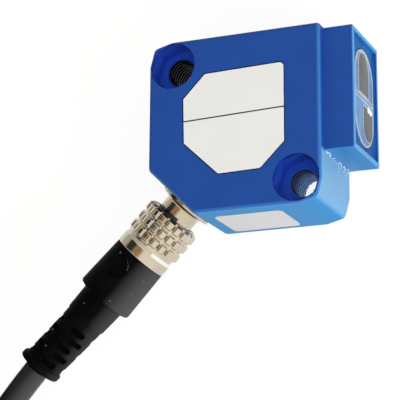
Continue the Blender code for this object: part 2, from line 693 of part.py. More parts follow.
def coupling_nut(nickel):
    """Turned body with rows of raised pads, a smooth collar and a lip that holds it on the plug."""
    bore = THREAD_RADIUS + NUT_THREAD_CLEARANCE
    lip = PLUG_NECK_RADIUS + RUN_GAP
    floorRadius = NUT_RADIUS - KNURL_DEPTH
    profile = [(NUT_START, bore), (NUT_START, floorRadius - NUT_CHAMFER / 2)]
    padRings = []
    for row in range(KNURL_ROWS):
        start = NUT_START + NUT_KNURL_START + row * KNURL_PITCH
        end = start + KNURL_PAD_LENGTH
        profile += [(start, floorRadius), (start + KNURL_SLOPE, NUT_RADIUS),
                    (end - KNURL_SLOPE, NUT_RADIUS), (end, floorRadius)]
        padRings += [len(profile) - 3, len(profile) - 2]
    collar = nutEnd - COLLAR_LENGTH
    profile += [(collar - KNURL_SLOPE, floorRadius), (collar, COLLAR_RADIUS),
                (nutEnd - SEAT_GAP, COLLAR_RADIUS), (nutEnd, COLLAR_RADIUS - SEAT_GAP),
                (nutEnd, lip), (nutShoulderStart, lip), (nutShoulderStart, bore)]
    angles = knurl_angles()
    tops = {round(angles[4 * pad + share], 9) for pad in range(KNURL_PADS) for share in (2, 3)}

    def pad_radius(index, along, radius, angle):
        if index in padRings and round(angle, 9) not in tops:
            return floorRadius
        return radius

    body = turned_body(profile, radius_at=pad_radius, angles=angles)
    add_mesh("coupling_nut", body, nickel, connector, 12.0)


def slot_angles():
    """Directions in which the strain relief has points: both edges of each slot, of both kinds of row."""
    angles = set()
    for centre in (SLOT_ANGLE, SLOT_ANGLE + SLOT_TWIST):
        for number in range(SLOTS_ROUND):
            middle = centre + 360.0 / SLOTS_ROUND * number
            for edge in (-SLOT_ARC / 2, SLOT_ARC / 2):
                angles.add(round((middle + edge) % 360, 6))
                angles.add(round((middle + edge - math.copysign(SLOT_SLOPE, edge)) % 360, 6))
            angles.add(round(middle % 360, 6))
    return [math.radians(angle) for angle in sorted(angles)]


def in_slot(row, angle):
    centre = SLOT_ANGLE + (SLOT_TWIST if row % 2 == 0 else 0.0)
    pitch = 360.0 / SLOTS_ROUND
    away = abs((math.degrees(angle) - centre + pitch / 2) % pitch - pitch / 2)
    return away <= SLOT_ARC / 2 - SLOT_SLOPE + 0.01


def plug_grip(black):
    """The moulded body of the plug: grip, tail, slotted strain relief and end ring, in one piece."""
    neck = PLUG_NECK_RADIUS + SEAT_GAP
    anchor = gripStart + PLUG_ANCHOR + SEAT_GAP
    profile = [(anchor, 0), (anchor, neck), (gripStart, neck), (gripStart, GRIP_FRONT_RADIUS - SEAT_GAP),
               (gripStart + SEAT_GAP, GRIP_FRONT_RADIUS), (gripEnd - GRIP_EDGE, GRIP_REAR_RADIUS),
               (gripEnd - GRIP_EDGE / 4, GRIP_REAR_RADIUS - GRIP_EDGE / 3),
               (gripEnd, GRIP_REAR_RADIUS - GRIP_EDGE), (gripEnd, TAIL_FRONT_RADIUS),
               (tailEnd - SEAT_GAP, TAIL_REAR_RADIUS), (tailEnd, RELIEF_FRONT_RADIUS)]
    slotRings = {}
    for row in range(SLOT_ROWS):
        middle = tailEnd + RELIEF_FIRST_SLOT + SLOT_PITCH * row
        share = row / (SLOT_ROWS - 1)
        radius = RELIEF_FRONT_RADIUS + (RELIEF_REAR_RADIUS - RELIEF_FRONT_RADIUS) * share
        for along, sunk in ((-SLOT_WIDTH / 2, False), (-SLOT_WIDTH / 2 + SEAT_GAP, True),
                            (SLOT_WIDTH / 2 - SEAT_GAP, True), (SLOT_WIDTH / 2, False)):
            if sunk:
                slotRings[len(profile)] = row
            profile.append((middle + along, radius))
    ring = slotsEnd
    profile += [(ring, RELIEF_REAR_RADIUS), (ring, END_RING_RADIUS - END_RING_BEVEL),
                (ring + END_RING_BEVEL, END_RING_RADIUS), (plugEnd - END_RING_BEVEL, END_RING_RADIUS),
                (plugEnd, END_RING_RADIUS - END_RING_BEVEL), (plugEnd, 0)]

    def slot_radius(index, along, radius, angle):
        if index in slotRings and in_slot(slotRings[index], angle):
            return SLOT_FLOOR_RADIUS
        return radius

    body = turned_body(profile, radius_at=slot_radius, angles=slot_angles())
    for vertex in body.verts:
        past = max(0.0, vertex.co.z - gripEnd) / (plugEnd - gripEnd)
        vertex.co.y += RELIEF_LEAN * past ** 2
    grip = add_mesh("plug_grip", body, black, connector, 30.0)
    mark = rod(MARK_RADIUS, GRIP_FRONT_RADIUS - MARK_DEPTH, NUT_RADIUS + MARK_RADIUS, 24)
    bmesh.ops.rotate(mark, verts=mark.verts, matrix=Matrix.Rotation(math.radians(90), 3, "Y"))
    bmesh.ops.translate(mark, verts=mark.verts, vec=(0, 0, gripStart + MARK_SETBACK))
    combine(grip, add_mesh("grip_mark", mark, parent=connector))


def plug_inside(dark, gold, rubber):
    sealStart = plugFlangeStart - SEAL_SETBACK - SEAL_SECTION
    groove = NOSE_RADIUS - SEAL_SINK
    carrierEnd = gripStart + PLUG_ANCHOR
    profile = [(noseStart, 0), (noseStart, NOSE_RADIUS), (sealStart, NOSE_RADIUS), (sealStart, groove),
               (sealStart + SEAL_SECTION, groove), (sealStart + SEAL_SECTION, NOSE_RADIUS),
               (plugFlangeStart, NOSE_RADIUS), (plugFlangeStart, PLUG_FLANGE_RADIUS),
               (plugFlangeEnd, PLUG_FLANGE_RADIUS), (plugFlangeEnd, PLUG_NECK_RADIUS),
               (carrierEnd, PLUG_NECK_RADIUS), (carrierEnd, 0)]
    carrier = add_mesh("contact_carrier", turned_body(profile, 40), dark, connector)
    socketOuter = PIN_RADIUS + RUN_GAP + SOCKET_WALL
    socketInner = PIN_RADIUS + RUN_GAP
    depth = noseStart + SOCKET_LENGTH + SEAT_GAP
    for number, x, y in pin_places():
        hole = add_mesh(f"socket_hole_{number}", prism(moved(circle(socketOuter + SEAT_GAP / 2, 12), x, y),
                                                       noseStart - WALL, depth), parent=connector)
        combine(carrier, hole)
        shape = [(noseStart, socketInner), (noseStart, socketOuter),
                 (noseStart + SOCKET_LENGTH, socketOuter), (noseStart + SOCKET_LENGTH, socketInner)]
        socket = add_mesh(f"contact_socket_{number}", turned_body(shape, 12), gold, connector)
        socket.location = (x, y, 0)
    low = sealStart + SEAT_GAP / 2
    high = sealStart + SEAL_SECTION - SEAT_GAP / 2
    outer = RECEPTACLE_BORE - SEAT_GAP / 2
    inner = groove + SEAT_GAP / 2
    shape = [(low, inner), (low, outer - SEAT_GAP), (low + SEAT_GAP, outer), (high - SEAT_GAP, outer),
             (high, outer - SEAT_GAP), (high, inner)]
    add_mesh("nose_seal", turned_body(shape, 40), rubber, connector)


def smooth_points(points, count):
    """Reads evenly spaced points from a smooth curve through the chosen ones."""
    ends = [points[0] * 2 - points[1]] + points + [points[-1] * 2 - points[-2]]
    dense = []
    for i in range(1, len(ends) - 2):
        a, b, c, d = ends[i - 1:i + 3]
        for step in range(20):
            t = step / 20
            dense.append(((2 * b) + (c - a) * t + (2 * a - 5 * b + 4 * c - d) * t ** 2
                          + (3 * b - a - 3 * c + d) * t ** 3) / 2)
    dense.append(points[-1])
    lengths = [0.0]
    for a, b in zip(dense, dense[1:]):
        lengths.append(lengths[-1] + (b - a).length)
    chosen = []
    for k in range(count):
        want = lengths[-1] * k / (count - 1)
        i = max(j for j, length in enumerate(lengths) if length <= want + 1e-12)
        i = min(i, len(dense) - 2)
        share = (want - lengths[i]) / (lengths[i + 1] - lengths[i])
        chosen.append(dense[i].lerp(dense[i + 1], share))
    return chosen


def tube(name, points, radius, finish, resolution=2):
    path = bpy.data.curves.new(name, "CURVE")
    path.dimensions = "3D"
    path.bevel_depth = radius
    path.bevel_resolution = resolution
    path.use_fill_caps = True
    run = path.splines.new("POLY")
    run.points.add(len(points) - 1)
    for place, point in zip(run.points, points):
        place.co = (*point, 1.0)
    return add_object(name, path, finish)


# Distance from the plug, how much of the relief's lean is left, and the height of the cable's middle
CORD_ROUTE = [(0.0, 1.0, 0.00750), (0.0045, 0.96, 0.00703), (0.0110, 0.79, 0.00600),
              (0.0186, 0.50, 0.00445)]


def cord_run(jacket):
    points = [cordStart + outwards * along + sideways * (RELIEF_LEAN * lean)
              + Vector((0, 0, height - middleHeight)) for along, lean, height in CORD_ROUTE]
    tube("cord_run", smooth_points(points, 12), CORD_RADIUS, jacket, 3)


def on_coil(radius, degrees, height):
    angle = math.radians(degrees)
    return coilMiddle + Vector((radius * math.cos(angle), radius * math.sin(angle), height))


def cord_coil(jacket, black):
    edge = CORD_RADIUS / 2
    inner = COIL_MEAN_RADIUS - coilHalfWidth
    outer = COIL_MEAN_RADIUS + coilHalfWidth
    top = coilBase + coilHeight
    profile = [(coilBase, inner + edge), (coilBase, outer - edge), (coilBase + edge, outer),
               (top - edge, outer), (top, outer - edge), (top, inner + edge), (top - edge, inner),
               (coilBase + edge, inner)]
    ring = add_mesh("cord_coil", turned_body(profile, COIL_SIDES), jacket)
    ring.location = coilMiddle
    gap = SEAT_GAP
    # a straight tie clears the curved inside by the chord that its width spans
    chord = math.sqrt((inner * math.cos(math.pi / COIL_SIDES)) ** 2 - (TIE_WIDTH / 2) ** 2)
    reach = CORD_RADIUS + CORD_GAP
    roof = top + 2 * reach
    # round the turns and over the loose end that lies on them
    outline = [(chord - gap, coilBase - gap), (outer + gap, coilBase - gap), (outer + gap, top + gap),
               (END_RADIUS + reach, roof), (END_RADIUS - reach, roof), (chord - gap, top + gap)]
    tie = prism(rounded(inset(outline, -TIE_THICKNESS), TIE_THICKNESS), -TIE_WIDTH / 2, TIE_WIDTH / 2)
    tie = add_mesh("coil_tie", tie, black)
    hollow = add_mesh("tie_hollow", prism(outline, -TIE_WIDTH, TIE_WIDTH))
    for thing in (tie, hollow):
        thing.location = coilMiddle
        thing.rotation_euler = (math.radians(90), 0, math.radians(TIE_ANGLE))
    combine(tie, hollow)


def cord_end(jacket, cores):
    """The loose end lies on the coil, and its four cores fan out from the cut jacket."""
    height = coilBase + coilHeight + CORD_RADIUS + CORD_GAP
    steps = 17
    arc = [on_coil(END_RADIUS, END_START + END_ARC * k / steps, height) for k in range(steps + 1)]
    tube("cord_end", arc, CORD_RADIUS, jacket, 2)
    start = END_START + END_ARC - math.degrees(CORD_GAP / END_RADIUS)
    reach = -math.degrees(CORE_LENGTH / END_RADIUS)
    low = coilBase + coilHeight + CORE_RADIUS + CORD_GAP
    steps = 8
    for number, (name, colour) in enumerate(cores.items()):
        lane = number - (len(cores) - 1) / 2
        points = []
        for step in range(steps + 1):
            share = step / steps
            radius = END_RADIUS + lane * (CORE_PITCH + CORE_SPREAD * share)
            lift = CORD_RADIUS / 2 * max(0.0, 1 - 2 * share) ** 2
            points.append(on_coil(radius, start + reach * share, low + lift))
        tube(name, points, CORE_RADIUS, material(name, colour, 0.45), 2)


clear_scene()
# the connector's own frame: its X points up, and its Z out of the housing
connector = add_empty("connector_axis", cutFace)
connector.rotation_mode = "QUATERNION"
connector.rotation_quaternion = Matrix((Vector((0, 0, 1)), sideways, outwards)).transposed().to_quaternion()

blue = material("blue_plastic", (0.02, 0.10, 0.42), 0.45)
coverBlue = material("cover_plastic", (0.02, 0.10, 0.40), 0.5)
headBlue = material("head_plastic", (0.02, 0.11, 0.44), 0.45)
steel = material("sleeve_steel", (0.45, 0.45, 0.45), 0.35, 1.0)
nickel = material("nickel_plating", (0.62, 0.58, 0.50), 0.25, 1.0)
housing_shell(blue)
screw_sleeves(steel)
back_cover(coverBlue)
optic_head(headBlue)
front_window(material("window_plastic", (0.55, 0.57, 0.58), 0.05))
optics_carrier(material("carrier_plastic", (0.10, 0.10, 0.10), 0.6))
lens("receiver_lens", RECEIVER_LENS_RADIUS, receiverY, material("lens_plastic", (0.7, 0.7, 0.72), 0.05))
lens("emitter_lens", EMITTER_LENS_RADIUS, emitterY, material("lens_plastic_2", (0.7, 0.7, 0.72), 0.05))
light_parts(material("led_resin", (0.75, 0.72, 0.7), 0.1), material("diode_resin", (0.03, 0.03, 0.03), 0.3))
boards(material("board_laminate", (0.02, 0.20, 0.08), 0.5))
board_parts(material("chip_resin", (0.03, 0.03, 0.03), 0.5),
            material("capacitor_resin", (0.5, 0.25, 0.04), 0.4))
labels(material("label_film", (0.80, 0.80, 0.77), 0.5))
receptacle(nickel, material("carrier_black", (0.02, 0.02, 0.02), 0.5),
           material("gold", (0.9, 0.65, 0.25), 0.3, 1.0))
coupling_nut(nickel)
plug_grip(material("grip_black", (0.02, 0.02, 0.022), 0.55))
plug_inside(material("insert_black", (0.03, 0.03, 0.03), 0.5),
            material("gold_2", (0.9, 0.65, 0.25), 0.3, 1.0),
            material("seal_rubber", (0.02, 0.02, 0.02), 0.7))
jacketBlack = material("jacket_black", (0.03, 0.03, 0.032), 0.5)
cord_run(jacketBlack)
cord_coil(jacketBlack, material("tie_black", (0.02, 0.02, 0.02), 0.5))
cord_end(jacketBlack, {
    "core_brown": (0.20, 0.07, 0.02), "core_white": (0.80, 0.80, 0.78),
    "core_blue": (0.02, 0.10, 0.45), "core_black": (0.02, 0.02, 0.02),
})
bpy.context.view_layer.update()
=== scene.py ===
import math

import bmesh
import bpy
from mathutils import Matrix, Vector, noise


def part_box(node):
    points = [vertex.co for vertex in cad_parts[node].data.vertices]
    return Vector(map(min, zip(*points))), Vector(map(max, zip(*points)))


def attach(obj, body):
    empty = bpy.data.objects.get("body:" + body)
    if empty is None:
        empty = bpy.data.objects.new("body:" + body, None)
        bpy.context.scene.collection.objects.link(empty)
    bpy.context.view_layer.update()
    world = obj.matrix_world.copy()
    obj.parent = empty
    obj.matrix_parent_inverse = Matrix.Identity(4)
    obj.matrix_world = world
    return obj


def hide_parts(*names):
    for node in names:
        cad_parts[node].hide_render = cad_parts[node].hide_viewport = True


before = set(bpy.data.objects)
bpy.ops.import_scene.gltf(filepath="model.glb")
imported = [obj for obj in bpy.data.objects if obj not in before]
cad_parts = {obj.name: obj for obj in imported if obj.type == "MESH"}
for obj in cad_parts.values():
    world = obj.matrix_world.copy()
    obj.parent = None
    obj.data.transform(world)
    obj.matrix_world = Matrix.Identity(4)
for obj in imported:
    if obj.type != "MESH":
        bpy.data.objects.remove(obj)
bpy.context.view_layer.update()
mm = 0.001

# the connector's own frame, as in the solids: X up, Z out of the housing
cutFace = Vector((-10.95, -10.95, 7.5)) * mm
outwards = Vector((-1, -1, 0)).normalized()
sideways = Vector((-1, 1, 0)).normalized()
up = Vector((0, 0, 1))
connectorFrame = Matrix((up, sideways, outwards)).transposed().to_4x4()
connectorFrame.translation = cutFace


# several sizes of a piece's dictionary at once
def take(sizes, names):
    return [sizes[name] for name in names.split()]


def addObject(name, data):
    made = bpy.data.objects.new(name, data)
    bpy.context.collection.objects.link(made)
    return made


# camera, fitted to the photo

cameraLook = {"place": (103.274, -91.852, 275.863), "right": (0.92343, 0.00616, -0.38371),
              "up": (0.09777, 0.9631, 0.25075), "lens": 163.8, "sensor": 36, "near": 0.01, "far": 20}


def addCamera():
    camera = addObject("camera", bpy.data.cameras.new("camera"))
    right = Vector(cameraLook["right"]).normalized()
    back = right.cross(Vector(cameraLook["up"])).normalized()
    turn = Matrix((right, back.cross(right), back)).transposed().to_4x4()
    camera.matrix_world = Matrix.Translation(Vector(cameraLook["place"]) * mm) @ turn
    camera.data.lens = cameraLook["lens"]
    camera.data.sensor_width = cameraLook["sensor"]
    camera.data.clip_start, camera.data.clip_end = take(cameraLook, "near far")
    bpy.context.scene.camera = camera


addCamera()
print("camera placed")


# materials

# an input takes a number, a colour, a vector or a socket to link from
def setInputs(tree, node, inputs):
    for key, value in inputs.items():
        if isinstance(value, bpy.types.NodeSocket):
            tree.links.new(value, node.inputs[key])
        else:
            node.inputs[key].default_value = value


def addNode(tree, kind, inputs=None, **settings):
    node = tree.nodes.new(f"ShaderNode{kind}")
    for name, value in settings.items():
        setattr(node, name, value)
    setInputs(tree, node, inputs or {})
    return node


def mathNode(tree, operation, *values):
    return addNode(tree, "Math", dict(enumerate(values)), operation=operation).outputs[0]


def coordinate(tree, kind="Object"):
    return addNode(tree, "TexCoord").outputs[kind]


# how far a place, a normal or a direction runs along an axis
def alongAxis(tree, vector, axis):
    return addNode(tree, "VectorMath", {0: vector, 1: axis}, operation="DOT_PRODUCT").outputs["Value"]


def mixColours(tree, share, *colours):
    first, second = (colour if isinstance(colour, bpy.types.NodeSocket) else (*colour, 1) for colour in colours)
    return addNode(tree, "Mix", {0: share, 6: first, 7: second}, data_type="RGBA").outputs[2]


def mixShaders(tree, share, first, second):
    return addNode(tree, "MixShader", {0: share, 1: first, 2: second}).outputs[0]


def spread(tree, value, fromLow, fromHigh, low=0, high=1):
    inputs = {"Value": value, "From Min": fromLow, "From Max": fromHigh, "To Min": low, "To Max": high}
    return addNode(tree, "MapRange", inputs).outputs["Result"]


def newGroup(name, inputs, outputs):
    group = bpy.data.node_groups.new(name, "ShaderNodeTree")
    for side, sockets in (("INPUT", inputs), ("OUTPUT", outputs)):
        for label, kind in sockets.items():
            group.interface.new_socket(name=label, in_out=side, socket_type=f"NodeSocket{kind}")
    return group, group.nodes.new("NodeGroupInput").outputs, group.nodes.new("NodeGroupOutput")


# fine moulded or worn grain, with a broad mask for drifts of colour
def grainGroup():
    group, given, out = newGroup("surfaceGrain", {"Scale": "Float", "Depth": "Float"},
                                 {"Broad": "Float", "Fine": "Float", "Normal": "Vector"})
    place = coordinate(group)
    broad = addNode(group, "TexNoise", {"Vector": place, "Scale": 190, "Detail": 3}).outputs
    fine = addNode(group, "TexNoise", {"Vector": place, "Scale": given["Scale"], "Detail": 4,
                                       "Roughness": 0.6}).outputs
    bump = addNode(group, "Bump", {"Strength": 1, "Distance": given["Depth"], "Height": fine["Fac"]}).outputs
    setInputs(group, out, {"Broad": broad["Fac"], "Fine": fine["Fac"], "Normal": bump["Normal"]})
    return group


# sparse small spots, such as dust and pits
def specksGroup(spotRadius=0.22):
    group, given, out = newGroup("fineSpecks", {"Scale": "Float", "Share": "Float"}, {"Mask": "Float"})
    place = coordinate(group)
    cells = addNode(group, "TexVoronoi", {"Vector": place, "Scale": given["Scale"]}).outputs
    near = mathNode(group, "LESS_THAN", cells["Distance"], spotRadius)
    draw = addNode(group, "SeparateColor", {0: cells["Color"]}).outputs[0]
    chosen = mathNode(group, "LESS_THAN", draw, given["Share"])
    setInputs(group, out, {"Mask": mathNode(group, "MULTIPLY", near, chosen)})
    return group


# the bounds within which nearly all values of the two noises lie
broadSpan, fineSpan = (0.35, 0.65), (0.3, 0.7)
surfaceGrain = grainGroup()
fineSpecks = specksGroup()


def useGroup(tree, group, **inputs):
    return addNode(tree, "Group", inputs, node_tree=group).outputs


# a mask grows between two values of the facing, the normal or the place along an axis
def maskShare(tree, source, axis, start, end):
    if source == "Facing":
        return spread(tree, addNode(tree, "LayerWeight").outputs["Facing"], start, end)
    unit = mm if source == "Object" else 1
    return spread(tree, alongAxis(tree, coordinate(tree, source), axis), start * unit, end * unit)


def newMaterial(name):
    made = bpy.data.materials.new(name)
    made.use_nodes = True
    return made, made.node_tree, made.node_tree.nodes["Principled BSDF"]


materials = {}
socketNames = {"specular": "Specular IOR Level", "metallic": "Metallic", "transmission": "Transmission Weight",
               "ior": "IOR"}


# a look has two colours that drift, a span of roughness, and the scale and depth of its grain; specks have a
# scale, a share and a colour
def addLook(name, colour, second, roughness, scale, depth, specks=None, tints=(), **sockets):
    materials[name], tree, shader = newMaterial(name)
    grain = useGroup(tree, surfaceGrain, Scale=scale, Depth=depth * mm)
    shade = mixColours(tree, spread(tree, grain["Broad"], *broadSpan), colour, second)
    if specks:
        size, share, speckColour = specks
        mask = useGroup(tree, fineSpecks, Scale=size, Share=share)["Mask"]
        shade = mixColours(tree, mask, shade, speckColour)
    # each tint takes over where all of its masks agree
    for tint, *masks in tints:
        share = maskShare(tree, *masks[0])
        for mask in masks[1:]:
            share = mathNode(tree, "MULTIPLY", share, maskShare(tree, *mask))
        shade = mixColours(tree, share, shade, tint)
    inputs = {"Base Color": shade, "Roughness": spread(tree, grain["Fine"], *fineSpan, *roughness),
              "Normal": grain["Normal"]}
    inputs.update({socketNames[key]: value for key, value in sockets.items()})
    setInputs(tree, shader, inputs)


forwards, rightwards = (0, -1, 0), (1, 0, 0)
# masks for painted light and shade: faces turned right or forwards, faces seen at a grazing angle, the sides clear
# of and beside the head, and the bores on the left
grazed = ("Facing", None, 0.5, 0.64)
towardsRight, towardsFront = (("Normal", axis, 0.04, 0.6) for axis in (rightwards, forwards))
rightSide, frontSide = (("Normal", axis, 0.55, 0.97) for axis in (rightwards, forwards))
clearOfHead, besideHead = ("Object", forwards, 5.7, 6.5), ("Object", forwards, 6.5, 5.7)
leftBore = ("Object", rightwards, 2, -2)

# blue plastic
# painted light on the housing: faces turned right or forwards and faces seen at a grazing angle are lighter, as lit
# and sheened; its right side beside the head takes painted shade
addLook("housing", (0.0146, 0.0725, 0.338), (0.016, 0.077, 0.358), (0.42, 0.52), 5200, 0.006, specular=0.16, tints=[
    ((0.028, 0.126, 0.35), towardsRight), ((0.022, 0.118, 0.35), towardsFront),
    ((0.085, 0.225, 0.4), ("Facing", None, 0.22, 0.55), clearOfHead),
    ((0.107, 0.245, 0.385), grazed, rightSide, clearOfHead), ((0.006, 0.155, 0.36), grazed, frontSide),
    ((0.008, 0.045, 0.215), ("Normal", rightwards, 0.8, 1), besideHead)])
# painted shade in the screw pockets: darker than the housing near the mouth, and painted lighter towards their
# floor
addLook("pocket", (0.008, 0.033, 0.235), (0.0095, 0.037, 0.26), (0.34, 0.46), 5200, 0.008, specular=0.2, tints=[
    ((0.023, 0.1, 0.68), ("Object", up, 14.2, 11.1))])
# painted light on the head as on the housing, and a painted reflection on its front side near the seam with the
# block
addLook("head", (0.0146, 0.0725, 0.336), (0.016, 0.0775, 0.356), (0.4, 0.5), 5600, 0.006, specular=0.16, tints=[
    ((0.035, 0.155, 0.41), towardsRight), ((0.02, 0.115, 0.345), towardsFront),
    ((0.085, 0.24, 0.43), ("Facing", None, 0.18, 0.52)),
    ((0.055, 0.205, 0.4), grazed, rightSide), ((0.002, 0.138, 0.335), grazed, frontSide),
    ((0.064, 0.195, 0.365), ("Object", rightwards, 17.8, 15.1), frontSide)])
addLook("recess", (0.004, 0.018, 0.09), (0.005, 0.021, 0.1), (0.45, 0.55), 5200, 0.006, specular=0.05)
addLook("headFace", (0.004, 0.047, 0.175), (0.01, 0.083, 0.265), (0.26, 0.36), 2600, 0.003, specular=0.01)
addLook("cover", (0.011, 0.046, 0.215), (0.0125, 0.052, 0.235), (0.42, 0.52), 4200, 0.015)
addLook("weld", (0.22, 0.38, 0.56), (0.5, 0.64, 0.78), (0.2, 0.45), 3600, 0.03)

# labels
addLook("label", (0.845, 0.855, 0.845), (0.87, 0.88, 0.872), (0.45, 0.57), 9000, 0.003,
        specks=(4200, 0.02, (0.7, 0.69, 0.65)), specular=0.3)
addLook("sideLabel", (0.438, 0.433, 0.436), (0.46, 0.455, 0.458), (0.5, 0.62), 9000, 0.003,
        specks=(3800, 0.03, (0.45, 0.4, 0.38)), specular=0.2)

# screw sleeves and turned metal
# painted shade: each bore darkens towards its top, and the left sleeve's bore and ends are painted darker still
addLook("sleeve", (0.13, 0.33, 0.7), (0.25, 0.45, 0.8), (0.2, 0.32), 6000, 0.006, metallic=0.7, specular=0.12,
        tints=[((0.01, 0.045, 0.18), ("Object", up, 6.5, 9.5)), ((0.003, 0.004, 0.01), leftBore)])
addLook("sleeveEnd", (0.024, 0.14, 0.56), (0.028, 0.155, 0.62), (0.4, 0.52), 6000, 0.006, specular=0.1,
        tints=[((0.015, 0.035, 0.17), leftBore)])
addLook("nickel", (0.555, 0.49, 0.38), (0.635, 0.57, 0.47), (0.13, 0.24), 5200, 0.006, metallic=1)
# painted shade for the dark notches between the knurl's pads
addLook("nickelGroove", (0.02, 0.016, 0.012), (0.055, 0.045, 0.032), (0.3, 0.44), 5200, 0.006, metallic=0.6)
# painted shade beside the nut, on the thread and on the first row's ends
addLook("nickelShade", (0.06, 0.058, 0.056), (0.115, 0.11, 0.104), (0.24, 0.38), 5200, 0.006, metallic=1)
# a painted highlight on one side of the collar's shoulder
addLook("nickelHighlight", (0.86, 0.84, 0.82), (0.92, 0.9, 0.88), (0.1, 0.2), 5200, 0.006, metallic=1)

# plug and cable
# painted light: the grip is lighter on the side towards the light
addLook("grip", (0.0016, 0.0016, 0.0017), (0.003, 0.003, 0.0031), (0.42, 0.58), 3400, 0.025,
        specks=(1000, 0.07, (0.075, 0.075, 0.078)), specular=0.02,
        tints=[((0.052, 0.052, 0.053), ("Object", sideways, -2.2, -5.2))])
# a painted highlight on the round mark's far wall
addLook("gripEdge", (0.06, 0.06, 0.062), (0.11, 0.11, 0.112), (0.42, 0.58), 3400, 0.01, specular=0.1)
# painted shade: the slot floors are darker than the grip
addLook("slot", (0.001, 0.001, 0.001), (0.0015, 0.0015, 0.0015), (0.8, 0.9), 3400, 0.01, specular=0.05)
# painted light: the jacket is lighter on faces turned towards the light
addLook("jacket", (0.0065, 0.0065, 0.007), (0.0095, 0.0095, 0.0099), (0.36, 0.48), 2600, 0.012, specular=0.35,
        tints=[((0.027, 0.027, 0.028), ("Normal", sideways, -0.1, -0.85))])
addLook("tie", (0.008, 0.008, 0.008), (0.012, 0.012, 0.012), (0.28, 0.42), 3000, 0.01)
coreGrain = ((0.3, 0.42), 4000, 0.006)
addLook("coreBrown", (0.12, 0.042, 0.014), (0.15, 0.055, 0.018), *coreGrain)
addLook("coreWhite", (0.6, 0.6, 0.57), (0.66, 0.66, 0.62), *coreGrain)
addLook("coreBlue", (0.01, 0.075, 0.34), (0.014, 0.09, 0.39), *coreGrain)
addLook("coreBlack", (0.01, 0.01, 0.01), (0.015, 0.015, 0.015), *coreGrain)
addLook("tinned", (0.66, 0.6, 0.54), (0.78, 0.74, 0.7), (0.22, 0.38), 9000, 0.01, metallic=1)

# window and inner parts
addLook("clearPlate", (0.02, 0.11, 0.28), (0.075, 0.19, 0.34), (0.1, 0.2), 2500, 0.003, specular=0.1)
addLook("lensGrey", (0.007, 0.008, 0.009), (0.018, 0.018, 0.018), (0.16, 0.26), 1500, 0.004, specular=0.3)
addLook("lensRim", (0.2, 0.225, 0.26), (0.3, 0.325, 0.35), (0.14, 0.28), 2600, 0.006, specular=0.4)
# a painted glint: the white patch stands for a reflection in the window
addLook("paintedGlint", (0.8, 0.81, 0.82), (0.88, 0.88, 0.88), (0.1, 0.2), 3000, 0.003)
addLook("insert", (0.012, 0.012, 0.012), (0.018, 0.018, 0.018), (0.4, 0.55), 4000, 0.01)
addLook("seal", (0.009, 0.009, 0.009), (0.014, 0.014, 0.014), (0.55, 0.7), 5000, 0.01)
addLook("gold", (0.83, 0.6, 0.25), (0.88, 0.66, 0.32), (0.18, 0.3), 6000, 0.004, metallic=1)
addLook("board", (0.012, 0.11, 0.045), (0.02, 0.14, 0.055), (0.35, 0.5), 2500, 0.01)
addLook("chip", (0.015, 0.015, 0.016), (0.024, 0.024, 0.024), (0.45, 0.6), 7000, 0.01)
addLook("capacitor", (0.42, 0.2, 0.03), (0.5, 0.26, 0.05), (0.3, 0.45), 5000, 0.008)
addLook("ledResin", (0.7, 0.66, 0.62), (0.76, 0.72, 0.68), (0.06, 0.14), 3000, 0.004, transmission=0.6)
addLook("lensGlass", (0.8, 0.82, 0.83), (0.86, 0.87, 0.88), (0.02, 0.06), 3000, 0.002, transmission=0.85, ior=1.49)
addLook("carrierGrey", (0.045, 0.045, 0.047), (0.06, 0.06, 0.06), (0.5, 0.6), 4200, 0.01)


# the front label keeps its thin printed dividing line
labelLine = {"left": (-8.8, 0.72), "right": (8.6, 1.3), "width": 0.24, "colour": (0.05, 0.047, 0.044)}


def addLabelLine(material):
    tree = material.node_tree
    shader = tree.nodes["Principled BSDF"]
    under = shader.inputs["Base Color"].links[0].from_socket
    place = addNode(tree, "SeparateXYZ", {0: coordinate(tree)}).outputs
    (leftX, leftY), (rightX, rightY) = labelLine["left"], labelLine["right"]
    slope = (rightY - leftY) / (rightX - leftX)
    level = mathNode(tree, "ADD", mathNode(tree, "MULTIPLY", place["X"], slope), (leftY - slope * leftX) * mm)
    away = mathNode(tree, "ABSOLUTE", mathNode(tree, "SUBTRACT", place["Y"], level))
    onLine = mathNode(tree, "LESS_THAN", away, labelLine["width"] / 2 * mm)
    setInputs(tree, shader, {"Base Color": mixColours(tree, onLine, under, labelLine["colour"])})


# turned metal shows fine rings round its axis
def addTurningMarks(material, axis, pitch, depth=0.012):
    tree = material.node_tree
    shader = tree.nodes["Principled BSDF"]
    place = alongAxis(tree, coordinate(tree), axis)
    marks = addNode(tree, "TexNoise", {"W": place, "Scale": 1 / (pitch * mm), "Detail": 3}, noise_dimensions="1D")
    bump = addNode(tree, "Bump", {"Strength": 0.5, "Distance": depth * mm, "Height": marks.outputs["Fac"],
                                  "Normal": shader.inputs["Normal"].links[0].from_socket})
    setInputs(tree, shader, {"Normal": bump.outputs["Normal"]})


addLabelLine(materials["label"])
addTurningMarks(materials["nickel"], outwards, 0.12)
addTurningMarks(materials["sleeve"], up, 0.15)
print("materials made")


# shapes

def linkPiece(name, data, material, body, *replaced):
    piece = addObject(name, data)
    piece.data.materials.append(materials[material])
    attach(piece, body)
    if replaced:
        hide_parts(*replaced)
    return piece


def meshOf(name, bm):
    bmesh.ops.recalc_face_normals(bm, faces=bm.faces)
    data = bpy.data.meshes.new(name)
    bm.to_mesh(data)
    bm.free()
    return data


def meshPiece(name, bm, material, body, *replaced, sharp=35):
    data = meshOf(name, bm)
    data.shade_smooth()
    data.set_sharp_from_angle(angle=math.radians(sharp))
    return linkPiece(name, data, material, body, *replaced)


def applyModifiers(piece):
    graph = bpy.context.evaluated_depsgraph_get()
    done = bpy.data.meshes.new_from_object(piece.evaluated_get(graph))
    piece.modifiers.clear()
    piece.data = done


